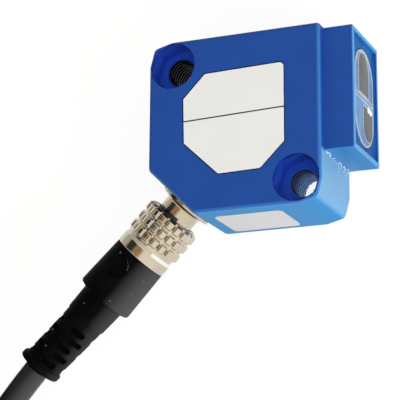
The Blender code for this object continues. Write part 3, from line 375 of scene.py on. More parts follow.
# a cutter goes away once it has been used
def toolMesh(bm):
    return addObject("tool", meshOf("tool", bm))


def carve(piece, *tools):
    for tool in tools:
        step = piece.modifiers.new("carve", "BOOLEAN")
        step.operation = "DIFFERENCE"
        step.object = tool
        step.solver = "EXACT"
        applyModifiers(piece)
        bpy.data.objects.remove(tool)


def carveBlocks(piece, *blocks):
    carve(piece, *[toolMesh(bm) for bm in blocks])


def softenEdges(piece, width, segments=2, angle=32, sharp=50):
    step = piece.modifiers.new("soften", "BEVEL")
    step.width = width * mm
    step.segments = segments
    step.limit_method = "ANGLE"
    step.angle_limit = math.radians(angle)
    applyModifiers(piece)
    stale = piece.data.attributes.get("custom_normal")
    if stale:
        piece.data.attributes.remove(stale)
    piece.data.shade_smooth()
    piece.data.set_sharp_from_angle(angle=math.radians(sharp))
    flat = piece.modifiers.new("flat", "WEIGHTED_NORMAL")
    flat.weight = 100
    flat.keep_sharp = True
    applyModifiers(piece)


def paintFaces(piece, material, test):
    piece.data.materials.append(materials[material])
    last = len(piece.data.materials) - 1
    for face in piece.data.polygons:
        if test(face.center / mm, face.normal):
            face.material_index = last


# a closed block over an outline in millimetres
def prism(outline, low, high):
    bm = bmesh.new()
    face = bm.faces.new([bm.verts.new((x * mm, y * mm, low * mm)) for x, y in outline])
    lifted = bmesh.ops.extrude_face_region(bm, geom=[face])
    risen = [item for item in lifted["geom"] if isinstance(item, bmesh.types.BMVert)]
    bmesh.ops.translate(bm, verts=risen, vec=(0, 0, (high - low) * mm))
    return bm


def rectangle(left, low, right, high):
    return [(left, low), (right, low), (right, high), (left, high)]


def box(low, high):
    return prism(rectangle(*low[:2], *high[:2]), low[2], high[2])


# replaces each corner, listed anticlockwise, by an arc
def rounded(outline, radii, steps=6):
    points = []
    for i, corner in enumerate(outline):
        radius = radii[i] if isinstance(radii, list) else radii
        here = Vector(corner)
        if radius <= 0:
            points.append(tuple(here))
            continue
        before = (Vector(outline[i - 1]) - here).normalized()
        after = (Vector(outline[(i + 1) % len(outline)]) - here).normalized()
        opening = before.angle(after)
        middle = here + (before + after).normalized() * radius / math.sin(opening / 2)
        start = here + before * radius / math.tan(opening / 2) - middle
        points += [tuple(middle + Matrix.Rotation((math.pi - opening) * step / steps, 2) @ start)
                   for step in range(steps + 1)]
    return points


def inset(outline, distance):
    points = []
    for i, corner in enumerate(outline):
        here = Vector(corner)
        into = (here - Vector(outline[i - 1])).normalized()
        out = (Vector(outline[(i + 1) % len(outline)]) - here).normalized()
        first, last = Vector((-into.y, into.x)), Vector((-out.y, out.x))
        mean = (first + last).normalized()
        points.append(tuple(here + mean * distance / mean.dot(first)))
    return points


def circle(radius, count, turn=0, x=0, y=0):
    angles = [math.radians(turn) + 2 * math.pi * i / count for i in range(count)]
    return [(x + radius * math.cos(angle), y + radius * math.sin(angle)) for angle in angles]


# half a circle, anticlockwise from an angle
def halfCircle(x, y, radius, start, steps=28):
    angles = [start + math.pi * step / steps for step in range(steps + 1)]
    return [(x + radius * math.cos(angle), y + radius * math.sin(angle)) for angle in angles]


def placed(bm, matrix):
    bmesh.ops.transform(bm, matrix=matrix, verts=bm.verts)
    return bm


# stands a block made in X and Y on its side: its X runs along +Y, its Y along +Z, its Z along +X
def onSide(bm, x=0, y=0, z=0):
    turn = Matrix(((0, 0, 1), (1, 0, 0), (0, 1, 0))).to_4x4()
    return placed(bm, Matrix.Translation(Vector((x, y, z)) * mm) @ turn)


def onConnector(bm):
    return placed(bm, connectorFrame)


# the test gets a face's place and angle in the connector's frame, in millimetres and degrees
def paintRound(piece, material, test):
    def found(place, normal):
        local = connectorFrame.inverted() @ (place * mm) / mm
        return test(local, math.degrees(math.atan2(local.y, local.x)), normal)
    paintFaces(piece, material, found)


# skins over rings of points; a ring may be a single tip, and a closed skin ends where it starts
def skin(bm, rings, closed=False):
    for low, high in zip(rings, rings[1:] + rings[:1] if closed else rings[1:]):
        count = max(len(low), len(high))
        for i in range(count):
            j = (i + 1) % count
            corners = [low[i % len(low)], low[j % len(low)], high[j % len(high)], high[i % len(high)]]
            distinct = list(dict.fromkeys(corners))
            if len(distinct) > 2:
                bm.faces.new(distinct)
    return bm


# turns (distance, radius) points in millimetres; a radius of 0 closes an end
def lathe(profile, count, radiusAt=None):
    bm = bmesh.new()
    rings = []
    for along, radius in profile:
        if radius <= 0:
            rings.append([bm.verts.new((0, 0, along * mm))])
            continue
        ring = []
        for i in range(count):
            angle = 2 * math.pi * i / count
            here = (radiusAt(along, radius, angle) if radiusAt else radius) * mm
            ring.append(bm.verts.new((here * math.cos(angle), here * math.sin(angle), along * mm)))
        rings.append(ring)
    return skin(bm, rings, closed=all(len(ring) > 1 for ring in rings))


def clamp(x):
    return min(1.0, max(0.0, x))


def smoothStep(x):
    x = clamp(x)
    return x * x * (3 - 2 * x)


def glide(x):
    return 0.5 - 0.5 * math.cos(math.pi * clamp(x))


# cable: one line from the plug through its run, the coil and the loose end on top; the coil's angles are in
# degrees from its start, and the route is listed as distance, share of the lean and height

cable = {"diameter": 4.3, "start": 37.74, "length": 1.94, "entry": 36.66, "rest": 0.5, "lean": 0.8,
         "route": [(0, 1, 7.5), (4.5, 0.96, 7.03), (11, 0.79, 6), (18.6, 0.5, 4.45), (22, 0.36, 3.7),
                   (26.2, 0.2, 2.95), (30.5, 0.07, 2.68), (33.5, 0.01, 2.65)], "routePoints": 24,
         "meanRadius": 25.8, "lanePitch": 4.45, "layerPitch": 4.35, "lanes": 4,
         "laneTurns": [(270, 1), (630, 2), (990, 3), (1530, 2), (1890, 1), (2250, 0), (2790, 1), (3150, 2),
                       (3510, 3)],
         "layerTurns": [(1260, 1), (2520, 2)], "blend": 90, "firstAngle": -45,
         "liftStart": 3780, "outStart": 3960, "endStart": 4079, "endArc": 147, "endRadius": 27.5,
         "endGap": 0.3, "step": 9}
cordRadius = cable["diameter"] / 2
halfLanes = cable["lanePitch"] * (cable["lanes"] - 1) / 2
outerLane = cable["meanRadius"] + halfLanes
coilTop = cable["rest"] + cable["diameter"] + 2 * cable["layerPitch"]
cordStart = cutFace / mm + outwards * cable["start"]
coilEntry = cordStart + outwards * cable["entry"]
coilMiddle = Vector((coilEntry.x, coilEntry.y, 0)) + sideways * outerLane


# the lane or layer reached, which changes within a short blend
def reached(turns, wound):
    level = 0
    for start, target in turns:
        level += (target - level) * glide((wound - start) / cable["blend"])
    return level


def coilPoint(wound):
    radius = outerLane - reached(cable["laneTurns"], wound) * cable["lanePitch"]
    height = cable["rest"] + cordRadius + reached(cable["layerTurns"], wound) * cable["layerPitch"]
    lift = cable["diameter"] + cable["endGap"]
    height += lift * glide((wound - cable["liftStart"]) / cable["blend"])
    out = glide((wound - cable["outStart"]) / (cable["endStart"] - cable["outStart"]))
    return onCoil(radius + (cable["endRadius"] - radius) * out, wound, height)


def onCoil(radius, wound, height):
    angle = math.radians(cable["firstAngle"] - wound)
    return coilMiddle + Vector((radius * math.cos(angle), radius * math.sin(angle), height))


# evenly spaced points on a smooth curve through the chosen ones
def softPath(points, count, steps=16):
    ends = [points[0] * 2 - points[1]] + points + [points[-1] * 2 - points[-2]]
    dense = []
    for i in range(1, len(ends) - 2):
        a, b, c, d = ends[i - 1:i + 3]
        for t in (step / steps for step in range(steps)):
            dense.append(((2 * b) + (c - a) * t + (2 * a - 5 * b + 4 * c - d) * t ** 2
                          + (3 * b - a - 3 * c + d) * t ** 3) / 2)
    dense.append(points[-1])
    reach = [0]
    for a, b in zip(dense, dense[1:]):
        reach.append(reach[-1] + (b - a).length)
    chosen = []
    for k in range(count):
        want = reach[-1] * k / (count - 1)
        i = min(max(j for j, length in enumerate(reach) if length <= want + 1e-9), len(dense) - 2)
        chosen.append(dense[i].lerp(dense[i + 1], (want - reach[i]) / (reach[i + 1] - reach[i])))
    return chosen


def cablePath():
    run = [cordStart + outwards * along + sideways * cable["lean"] * lean + up * (height - cordStart.z)
           for along, lean, height in cable["route"]]
    last = cable["endStart"] + cable["endArc"]
    count = round(last / cable["step"])
    coil = [coilPoint(last * k / count) for k in range(count + 1)]
    return [point * mm for point in softPath(run, cable["routePoints"]) + coil]


def tubePiece(name, points, radius, material, *replaced, resolution):
    path = bpy.data.curves.new(name, "CURVE")
    path.dimensions = "3D"
    path.bevel_depth = radius * mm
    path.bevel_resolution = resolution
    path.use_fill_caps = True
    run = path.splines.new("POLY")
    run.points.add(len(points) - 1)
    for place, point in zip(run.points, points):
        place.co = (*point, 1)
    run.use_smooth = True
    return linkPiece(name, path, material, "cable_plug", *replaced)


cablePoints = cablePath()
cableLength = sum((b - a).length for a, b in zip(cablePoints, cablePoints[1:]))
print(f"cable {cableLength:.3f} m")
cord = tubePiece("cable", cablePoints, cordRadius, "jacket", "cord_run", "cord_coil", "cord_end", resolution=5)

# each core ends in twisted fine wires, shown as one fluted rod
cores = {"names": ["Brown", "White", "Blue", "Black"], "radius": 0.6, "length": 28, "bare": 5, "pitch": 1.35,
         "spread": 2.2, "gap": 0.3, "steps": 18, "tipSteps": 8, "overlap": 0.01}
strands = {"radius": 0.36, "sides": 28, "flutes": 7, "steps": 4, "flute": 0.14, "twist": 0.12}


def addCores():
    pieces = []
    start = cable["endStart"] + cable["endArc"] + math.degrees(cores["gap"] / cable["endRadius"])
    reach = math.degrees(cores["length"] / cable["endRadius"])
    for number, colour in enumerate(cores["names"]):
        lane = number - (len(cores["names"]) - 1) / 2

        def point(share):
            radius = cable["endRadius"] + lane * (cores["pitch"] + cores["spread"] * share)
            lift = cable["diameter"] / 4 * max(0, 1 - 2 * share) ** 2
            return onCoil(radius, start + reach * share, coilTop + cores["radius"] + cores["gap"] + lift) * mm

        bareShare = 1 - cores["bare"] / cores["length"]
        line = [point(bareShare * k / cores["steps"]) for k in range(cores["steps"] + 1)]
        pieces.append(tubePiece(f"core{colour}", line, cores["radius"], f"core{colour}", f"core_{colour.lower()}",
                                resolution=3))
        tip = [point(bareShare + (1 - bareShare) * k / cores["tipSteps"] - cores["overlap"])
               for k in range(cores["tipSteps"] + 1)]
        pieces.append(strandPiece(f"strands{colour}", tip))
    return pieces


def strandPiece(name, line):
    bm = bmesh.new()
    dense = softPath(line, len(line) * strands["steps"])
    rings = []
    for k, point in enumerate(dense):
        ahead = (dense[min(k + 1, len(dense) - 1)] - dense[max(k - 1, 0)]).normalized()
        side = ahead.cross(up).normalized()
        over = side.cross(ahead)
        ring = []
        for angle in (2 * math.pi * i / strands["sides"] for i in range(strands["sides"])):
            fluted = abs(math.cos(strands["flutes"] / 2 * (angle + k * strands["twist"])))
            here = strands["radius"] * (1 - strands["flute"] + strands["flute"] * fluted) * mm
            ring.append(bm.verts.new(point + side * here * math.cos(angle) + over * here * math.sin(angle)))
        rings.append(ring)
    skin(bm, rings)
    bm.faces.new(rings[0])
    bm.faces.new(rings[-1])
    return meshPiece(name, bm, "tinned", "cable_plug")


corePieces = addCores()

# a ribbed strap round the turns and the loose end; its lock and tail lie inside the coil, and their corners are
# listed as distance inwards from the strap and height
tie = {"angle": 180, "width": 4.5, "thickness": 0.4, "gap": 0.1, "sides": 40, "roundOut": 1.2, "roundIn": 0.8,
       "teeth": 14, "toothStart": 3, "toothPitch": 0.55, "toothWidth": 0.28, "tooth": 0.12, "margin": 1.2,
       "lock": (3.2, 7.2, 0.62, 11.6), "lockHalf": 2.7, "slot": (2.5, 6, 1.5, 13), "slotHalf": 1.9,
       "tail": [(2.35, 4.6), (1.9, 4.4), (1.65, 14), (2.1, 14)], "tailHalf": 1.75}


def addTie():
    inner, outer = (cable["meanRadius"] + side * (cordRadius + halfLanes) for side in (-1, 1))
    width, thickness, gap = take(tie, "width thickness gap")
    chord = math.sqrt((inner * math.cos(math.pi / tie["sides"])) ** 2 - (width / 2) ** 2)
    foot, reach, middle = cable["rest"] - gap, cordRadius + cable["endGap"], cable["endRadius"]
    roof = coilTop + 2 * reach
    hollow = [(chord - gap, foot), (outer + gap, foot), (outer + gap, coilTop + gap), (middle + reach, roof),
              (middle - reach, roof), (chord - gap, coilTop + gap)]
    strap = prism(rounded(inset(hollow, -thickness), tie["roundOut"]), -width / 2, width / 2)
    strap = meshPiece("coilTie", strap, "tie", "cable_plug", "coil_tie")
    carveBlocks(strap, prism(rounded(hollow, tie["roundIn"]), -width, width))
    # shallow teeth across the strap's lower face
    teeth = bmesh.new()
    size = Matrix.Diagonal((tie["toothWidth"] * mm, tie["tooth"] * 2 * mm, (width - tie["margin"]) * mm, 1))
    for k in range(tie["teeth"]):
        place = Vector((chord + tie["toothStart"] + tie["toothPitch"] * k, foot - thickness, 0)) * mm
        bmesh.ops.create_cube(teeth, size=1, matrix=Matrix.Translation(place) @ size)
    carveBlocks(strap, teeth)

    def inwards(corners, half, radius=0):
        return prism(rounded([(chord - x, y) for x, y in corners], radius, 4), -half, half)

    lock = inwards(rectangle(*tie["lock"]), tie["lockHalf"], 0.5)
    lock = meshPiece("tieLock", lock, "tie", "cable_plug")
    carveBlocks(lock, inwards(rectangle(*tie["slot"]), tie["slotHalf"]))
    softenEdges(lock, 0.12)
    tail = meshPiece("tieTail", inwards(tie["tail"], tie["tailHalf"]), "tie", "cable_plug")
    softenEdges(strap, 0.08, segments=1)
    turn = Matrix.Translation(coilMiddle * mm) @ Matrix.Rotation(math.radians(tie["angle"]), 4, "Z")
    for piece in (strap, lock, tail):
        piece.data.transform(turn @ Matrix.Rotation(math.radians(90), 4, "X"))
    return [strap, lock, tail]


tiePieces = addTie()
print("cable laid")


# housing

housing = {"half": 15, "depth": 15, "cut": 8.1, "facetStart": 3.95, "facetTip": 0.8, "squareRound": 0.7,
           "cutRound": 1.2, "wall": 1.2, "ledge": 0.5, "cover": 1.2, "innerFloor": 1, "screwAt": 10.7,
           "flats": 7.1, "hexTurn": 15, "mouth": 3.95, "mouthDepth": 0.5, "pocket": 4, "sleeveHole": 2.55,
           "boss": 0.7, "shank": 3.7, "shankLow": -4.7, "shankHigh": 1.2, "labelRecess": 0.2, "edge": 0.85,
           "passage": ((12.6, -5.1, 1.8), (16.2, 13.2, 12.24))}
label = {"corners": [(-8.57, -3), (-2.57, -8.73), (4.64, -8.55), (8.78, -4.47), (8.76, 8.88), (-4.92, 8.52),
                     (-8.74, 4.62)], "rounds": [0.35, 0.35, 0.5, 0.35, 0.7, 0.5, 0.35], "gap": 0.2, "reach": 9.5,
         "round": 0.9, "sideX": 1.15, "sideZ": 6.65, "sideLength": 11.7, "sideWidth": 10.1, "sideGap": 0.1}
screwPlaces = [(-housing["screwAt"], housing["screwAt"]), (housing["screwAt"], -housing["screwAt"])]


# the plain outline leaves out the two facets' tips and the rounding
def blockOutline(plain=False):
    half, start, tip, cut = take(housing, "half facetStart facetTip cut")
    corners = [(half, -half + start), (half, half), (-half + start, half), (-half + tip, half - tip),
               (-half, half - start), (-half, -half + cut), (-half + cut, -half), (half - start, -half),
               (half - tip, -half + tip)]
    if plain:
        return corners[:3] + corners[4:8]
    radii = [0, housing["squareRound"], 0, 0, 0, housing["cutRound"], housing["cutRound"], 0, 0]
    return rounded(corners, radii, 5)


def labelOutline(grow):
    return inset(rounded(label["corners"], label["rounds"]), -grow)


def addHousing():
    depth, wall, pocket, mouth, mouthDepth = take(housing, "depth wall pocket mouth mouthDepth")
    above = depth + 1
    shell = meshPiece("housingShell", prism(blockOutline(), 0, depth), "housing", "sensor", "housing_shell")
    softenEdges(shell, housing["edge"], segments=5, angle=50)
    hexagon = housing["flats"] / math.sqrt(3)
    plain = blockOutline(plain=True)
    room = toolMesh(prism(inset(plain, wall), housing["innerFloor"], depth - wall))
    cover = toolMesh(prism(inset(plain, wall - housing["ledge"]), -1, housing["cover"] + 0.1))
    for cavity in (room, cover):
        carveBlocks(cavity, *[prism(circle(hexagon + housing["boss"], 48, 0, x, y), -3, above)
                              for x, y in screwPlaces])
    carve(shell, room, cover)
    shank = prism(circle(housing["shank"], 64), housing["shankLow"], housing["shankHigh"])
    carveBlocks(shell, box(*housing["passage"]), onConnector(shank),
                prism(labelOutline(label["gap"]), depth - housing["labelRecess"], above), sideRecess())
    for x, y in screwPlaces:
        for low, high, mouthLow, mouthHigh in ((depth - pocket, above, depth - mouthDepth, above),
                                               (-1, pocket, -1, mouthDepth)):
            carveBlocks(shell, prism(circle(hexagon, 6, housing["hexTurn"], x, y), low, high),
                        prism(circle(mouth, 72, 0, x, y), mouthLow, mouthHigh))
        carveBlocks(shell, prism(circle(housing["sleeveHole"], 48, 0, x, y), -1, above))
    softenEdges(shell, 0.09, angle=40)

    # the screw pockets take their painted shade and light
    def inPocket(place, normal):
        off = min(math.hypot(place.x - x, place.y - y) for x, y in screwPlaces)
        return off < mouth + 0.06 and -0.1 < place.z < depth - 0.06
    paintFaces(shell, "pocket", inPocket)

    # the narrow gap round the front label lies in shade
    def inRecess(place, normal):
        beside = max(abs(place.x), abs(place.y)) < label["reach"]
        return beside and depth - housing["labelRecess"] - 0.05 < place.z < depth - 0.04
    paintFaces(shell, "recess", inRecess)


def sideRecess():
    gap = label["sideGap"]
    x, z = label["sideLength"] / 2 + gap, label["sideWidth"] / 2 + gap
    turn = Matrix(((1, 0, 0), (0, 0, 1), (0, 1, 0))).to_4x4()
    place = Matrix.Translation(Vector((label["sideX"], -housing["half"], label["sideZ"])) * mm)
    return placed(prism(rounded(rectangle(-x, -z, x, z), label["round"] + gap), -1.2, 0.2), place @ turn)


addHousing()
labelLow, labelHigh = (corner[2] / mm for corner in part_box("front_label"))
meshPiece("frontLabel", prism(labelOutline(0), labelLow, labelHigh), "label", "sensor", "front_label")
print("housing made")

sleeve = {"bore": 2.2, "outer": 2.5, "low": 4, "high": 11, "ring": 0.17, "pitch": 0.85, "step": 0.06}


def addSleeves():
    low, high, outer = take(sleeve, "low high outer")
    count = round((high - low) / sleeve["step"])
    for number, (x, y) in enumerate(screwPlaces, start=1):
        profile = [(low, outer), (high, outer)]
        for k in range(count + 1):
            along = high - (high - low) * k / count
            wave = 0.5 + 0.5 * math.cos(2 * math.pi * (along - low) / sleeve["pitch"])
            profile.append((along, sleeve["bore"] + sleeve["ring"] * wave ** 2))
        bm = lathe(profile, 64)
        bmesh.ops.translate(bm, verts=bm.verts, vec=(x * mm, y * mm, 0))
        piece = meshPiece(f"screwSleeve{number}", bm, "sleeve", "sensor", f"screw_sleeve_{number}", sharp=60)
        paintFaces(piece, "sleeveEnd", lambda place, normal: abs(normal.z) > 0.9)


addSleeves()


# optic head

head = {"left": 14.75, "right": 20.06, "low": -6.3, "high": 14.4, "top": 13.44, "wall": 1.2, "face": 19.66,
        "faceBack": 18.26, "innerLeft": 13.8, "innerFloor": 1.8, "rim": 0.8, "edge": 0.22}
window = {"radius": 4.9, "spread": 6.8, "y": 3.85, "z": 6.72, "front": 19.86, "back": 18.66, "gap": 0.1,
          "holeFrom": 16.2, "holeLength": 5, "sunk": 0.22, "dome": 0.08, "steps": 26, "bead": 0.15, "ring": 0.24,
          "web": (-0.48, -4.35, 0.22, 4.35), "glintY": 2.5, "glintZ": 3.95, "glintHeight": 0.12,
          "paintedGlint": [(-0.65, -1), (0.15, -1), (0.45, 1), (-0.35, 1)]}

# two grey fields lie behind the clear plate, each with a round end, and a double web runs between them
fields = {"High": {"tip": 7.85, "foot": 0.55, "across": 0, "radius": 2.63},
          "Low": {"tip": -7.05, "foot": -1.15, "across": -1.92, "radius": 2.4}}


# the window's outline, with two round ends
def stadium(grow):
    radius, reach = window["radius"] + grow, window["spread"] / 2
    return halfCircle(reach, 0, radius, -math.pi / 2) + halfCircle(-reach, 0, radius, math.pi / 2)


def addHead():
    low, high, top, wall, rim, face = take(head, "low high top wall rim face")
    body = onSide(prism(rectangle(low, 0, high, top), head["left"], head["right"]))
    body = meshPiece("opticHead", body, "head", "sensor", "optic_head")
    softenEdges(body, head["edge"], segments=3, angle=50)
    hole = onSide(prism(stadium(window["gap"]), 0, window["holeLength"]), *take(window, "holeFrom y z"))
    carveBlocks(body, box((head["innerLeft"], low + wall, head["innerFloor"]),
                          (head["faceBack"], high - wall, top - wall)),
                box((face, low + rim, rim), (head["right"] + 1, high - rim, top - rim)), hole)
    softenEdges(body, 0.08, angle=40)
    paintFaces(body, "headFace", lambda place, normal: normal.x > 0.9 and face - 0.6 < place.x < face + 0.02)


addHead()


def fieldOutline(field):
    tip, foot, across, radius = take(field, "tip foot across radius")
    side = math.copysign(1, tip)
    points = halfCircle(tip - side * radius, across, radius, -side * math.pi / 2, window["steps"])
    return points + [(foot, points[-1][1]), (foot, points[0][1])]


# a shallow pillow over an outline
def domed(outline, base, rise, rings=5):
    bm = bmesh.new()
    middle = Vector((sum(p[0] for p in outline) / len(outline), sum(p[1] for p in outline) / len(outline)))
    loops = []
    for left in (1 - k / rings for k in range(rings)):
        height = base + rise * (1 - left ** 2)
        loops.append([bm.verts.new(((middle.x + (x - middle.x) * left) * mm,
                                    (middle.y + (y - middle.y) * left) * mm, height * mm)) for x, y in outline])
    floor = [bm.verts.new((x * mm, y * mm, (base - 0.3) * mm)) for x, y in outline]
    tip = bm.verts.new((middle.x * mm, middle.y * mm, (base + rise) * mm))
    skin(bm, [floor] + loops + [[tip]])
    bm.faces.new(floor)
    return bm


# a round bead, slightly flattened, that follows a closed outline
def beadRing(outline, radius, base, sides=10, flattened=0.6):
    bm = bmesh.new()
    rings = []
    for i, point in enumerate(outline):
        here = Vector(point)
        ahead = (Vector(outline[(i + 1) % len(outline)]) - Vector(outline[i - 1])).normalized()
        side = Vector((ahead.y, -ahead.x))
        rings.append([bm.verts.new(((here.x + side.x * radius * math.cos(a)) * mm,
                                    (here.y + side.y * radius * math.cos(a)) * mm,
                                    (base + radius * flattened * math.sin(a)) * mm))
                      for a in (2 * math.pi * s / sides for s in range(sides))])
    return skin(bm, rings, closed=True)


def addWindow():
    place = (0, window["y"], window["z"])
    front = window["front"] - window["sunk"]
    plate = onSide(prism(stadium(0), window["back"], front), *place)
    plate = meshPiece("windowPlate", plate, "clearPlate", "sensor", "front_window")
    softenEdges(plate, 0.18, segments=3, angle=50)
    outlines = {"windowRing": stadium(-window["ring"]), "windowWeb": rounded(rectangle(*window["web"]), 0.2, 4)}
    for name, field in fields.items():
        outlines[f"lens{name}Rim"] = fieldOutline(field)
        lens = onSide(domed(fieldOutline(field), front, window["dome"]), *place)
        meshPiece(f"lens{name}", lens, "lensGrey", "sensor", sharp=60)
    for name, outline in outlines.items():
        size = window["ring"] if name == "windowRing" else window["bead"]
        meshPiece(name, onSide(beadRing(outline, size, front), *place), "lensRim", "sensor", sharp=60)
    # a small white patch on the lower field is a painted glint, a reflection in the window
    paintedGlint = prism(rounded(window["paintedGlint"], 0.2, 4), front, front + window["glintHeight"])
    meshPiece("lensPaintedGlint", onSide(paintedGlint, 0, window["glintY"], window["glintZ"]), "paintedGlint", "sensor")


addWindow()

# the weld between head and block leaves a rough bead of melted plastic; strays are listed as height and distance
weld = {"x": 15.02, "y": -6.3, "zLow": 0.8, "zHigh": 13.2, "count": 46, "low": 0.08, "high": 0.22, "gapBelow": 0,
        "runs": 0.43, "variety": 1.37, "rough": 0.3, "roughScale": 9,
        "strays": [(6.3, 0.25), (6.15, 0.65), (6.4, 1), (6.1, 1.35), (6.35, 1.75), (4.7, 0.45), (3.5, 0.95),
                   (3.1, 0.4), (2.5, 1.3), (8.6, 0.4), (10.4, 0.35), (1.7, 0.6), (7.3, 0.55), (5.4, 0.9)]}


def addWeld():
    bm = bmesh.new()
    places = []
    for k in range(weld["count"]):
        # the drops come in short runs with gaps between them
        if noise.noise(Vector((k * weld["runs"], 5.2, 1.7))) < weld["gapBelow"]:
            continue
        z = weld["zLow"] + (weld["zHigh"] - weld["zLow"]) * (k + 0.5) / weld["count"]
        aside = noise.noise(Vector((k * weld["variety"], 9, 0.4)))
        places.append(Vector((weld["x"] + 0.1 + 0.12 * aside, weld["y"] - 0.1 + 0.25 * aside, z)))
    places += [Vector((weld["x"] - 0.03, weld["y"] - off, z)) for z, off in weld["strays"]]
    for k, place in enumerate(places):
        size = 0.5 + 0.5 * noise.noise(Vector((k * weld["variety"], 0, 0.4)))
        radius = weld["low"] + (weld["high"] - weld["low"]) * size ** 1.5
        for vertex in bmesh.ops.create_icosphere(bm, subdivisions=2, radius=radius * mm)["verts"]:
            rough = 1 + weld["rough"] * noise.noise(vertex.co / mm * weld["roughScale"] + Vector((k, 0, 0)))
            vertex.co = vertex.co * rough + place * mm
    meshPiece("weldBead", bm, "weld", "sensor", sharp=50)


addWeld()
print("optic head made")


# the coupling nut's sizes also say where the shade on the connector ends
nut = {"start": 3.3, "end": 12, "radius": 5, "depth": 0.4, "pads": 18, "rows": 3, "rowStart": 3.4,
       "padLength": 1.9, "pitch": 1.95, "slope": 0.5, "slopeShare": 0.22, "grooveShare": 0.06, "dish": 0.12,
       "bore": 4.15, "lip": 3.5, "lipStart": 9, "collar": 4.75, "collarStart": 9.65, "collarFlat": 10.25,
       "step": 0.05, "perPad": 20, "notch": 0.42, "notchShare": 0.06, "highlightTo": -40, "shadeFrom": -38}


# connector on the sensor

socket = {"shankRadius": 3.6, "shank": 3.5, "bore": 2.95, "flange": 4.7, "relief": 3.25, "thread": 3.9,
          "threadStart": 3.5, "threadEnd": 8.2, "pitch": 1, "threadDepth": 0.5, "step": 0.05, "crest": 0.12,
          "flank": 0.76, "runIn": 0.5, "runOut": 0.4, "shadeStart": 2.8, "shadeEnd": 4.2}


def addReceptacle():
    bore, shank, shankRadius, flange, relief = take(socket, "bore shank shankRadius flange relief")
    thread, start, end = take(socket, "thread threadStart threadEnd")
    profile = [(-shank, bore), (-shank, shankRadius), (0.1, shankRadius), (0.1, flange - 0.1), (0.18, flange),
               (0.22, flange), (0.56, flange), (0.6, flange), (0.7, flange - 0.12), (0.72, relief + 0.5),
               (0.95, relief + 0.12), (1.25, relief), (1.3, relief), (2.75, relief), (2.8, relief),
               (3.3, relief), (3.5, relief + 0.02)]
    count = round((end - start) / socket["step"])
    profile += [(start + 0.02 + (end - start - 0.04) * k / count, thread) for k in range(count + 1)]
    profile += [(end, thread - 0.5), (end, bore + 0.2), (end - 0.2, bore)]

    def threadRadius(along, radius, angle):
        if radius != thread:
            return radius
        turn = (along / socket["pitch"] - angle / (2 * math.pi)) % 1
        groove = clamp((abs(turn - 0.5) * 2 - socket["crest"]) / socket["flank"])
        runOut = smoothStep((along - start) / socket["runIn"]) * smoothStep((end - along) / socket["runOut"])
        return radius - socket["threadDepth"] * (1 - (1 - groove) * runOut)

    piece = meshPiece("receptacle", onConnector(lathe(profile, 96, threadRadius)), "nickel", "sensor",
                      "receptacle", sharp=40)

    # painted shadow in the thread beside the nut
    def inShade(local, angle, normal):
        return socket["shadeStart"] < local.z < socket["shadeEnd"] and angle > nut["shadeFrom"]
    paintRound(piece, "nickelShade", inShade)


addReceptacle()


# coupling nut

# how far a knurl pad stands out of the groove floor, from 0 to 1
def padHeight(along, angle):
    row = (along - nut["rowStart"]) // nut["pitch"]
    if row < 0 or row >= nut["rows"]:
        return 0
    inRow = along - nut["rowStart"] - row * nut["pitch"]
    lengthways = smoothStep(min(inRow, nut["padLength"] - inRow) / nut["slope"])
    share = (angle / (2 * math.pi) * nut["pads"]) % 1
    crosswise = smoothStep((min(share, 1 - share) - nut["grooveShare"] / 2) / nut["slopeShare"])
    dish = nut["dish"] * math.cos(math.pi * (share - 0.5)) ** 2
    return lengthways * crosswise * (0.9 + dish - 0.02)


def addNut():
    start, end, bore, lip, lipStart = take(nut, "start end bore lip lipStart")
    collar, collarStart, flat, rowStart = take(nut, "collar collarStart collarFlat rowStart")
    floor = nut["radius"] - nut["depth"]
    profile = [(start + 0.15, bore), (start, bore + 0.15), (start, floor - 0.25), (start + 0.08, floor - 0.08)]
    knurlEnd = rowStart + nut["pitch"] * (nut["rows"] - 1) + nut["padLength"]
    count = round((knurlEnd - start - 0.1) / nut["step"])
    profile += [(start + 0.2 + (knurlEnd - start - 0.1) * k / count, floor) for k in range(count + 1)]
    profile += [(collarStart - 0.1, floor - 0.1), (collarStart, floor - 0.06), (collarStart + 0.03, floor - 0.03),
                (flat - 0.06, collar - 0.02), (flat, collar), (flat + 0.06, collar), (end - 0.17, collar),
                (end - 0.12, collar), (end - 0.03, collar - 0.05), (end, collar - 0.16), (end, lip),
                (lipStart, lip), (lipStart, bore)]

    def knurlRadius(along, radius, angle):
        return radius if radius != floor else floor + nut["depth"] * padHeight(along, angle)

    bm = onConnector(lathe(profile, nut["pads"] * nut["perPad"], knurlRadius))
    piece = meshPiece("couplingNut", bm, "nickel", "coupling_nut", "coupling_nut", sharp=45)

    # painted shade: dark notches between the pads of a row
    def inGroove(local, angle, normal):
        inRow = (local.z - rowStart) % nut["pitch"] - nut["padLength"] / 2
        share = (angle / 360 * nut["pads"]) % 1
        return (rowStart < local.z < knurlEnd and abs(inRow) < nut["notch"]
                and min(share, 1 - share) < nut["notchShare"])
    paintRound(piece, "nickelGroove", inGroove)

    # the first row's ends lie in the shade of the block
    def onFirstEnds(local, angle, normal):
        return start < local.z < rowStart + 0.42 and normal.dot(outwards) < -0.25 and angle > nut["shadeFrom"]
    paintRound(piece, "nickelShade", onFirstEnds)

    # a painted highlight on one side of the collar's shoulder
    def onShoulder(local, angle, normal):
        return collarStart < local.z < flat and local.xy.length > floor - 0.05 and angle < nut["highlightTo"]
    paintRound(piece, "nickelHighlight", onShoulder)
    return piece


nutPiece = addNut()
print("coupling nut made")


# cable plug: grip, tail, slotted strain relief and end ring in one moulding

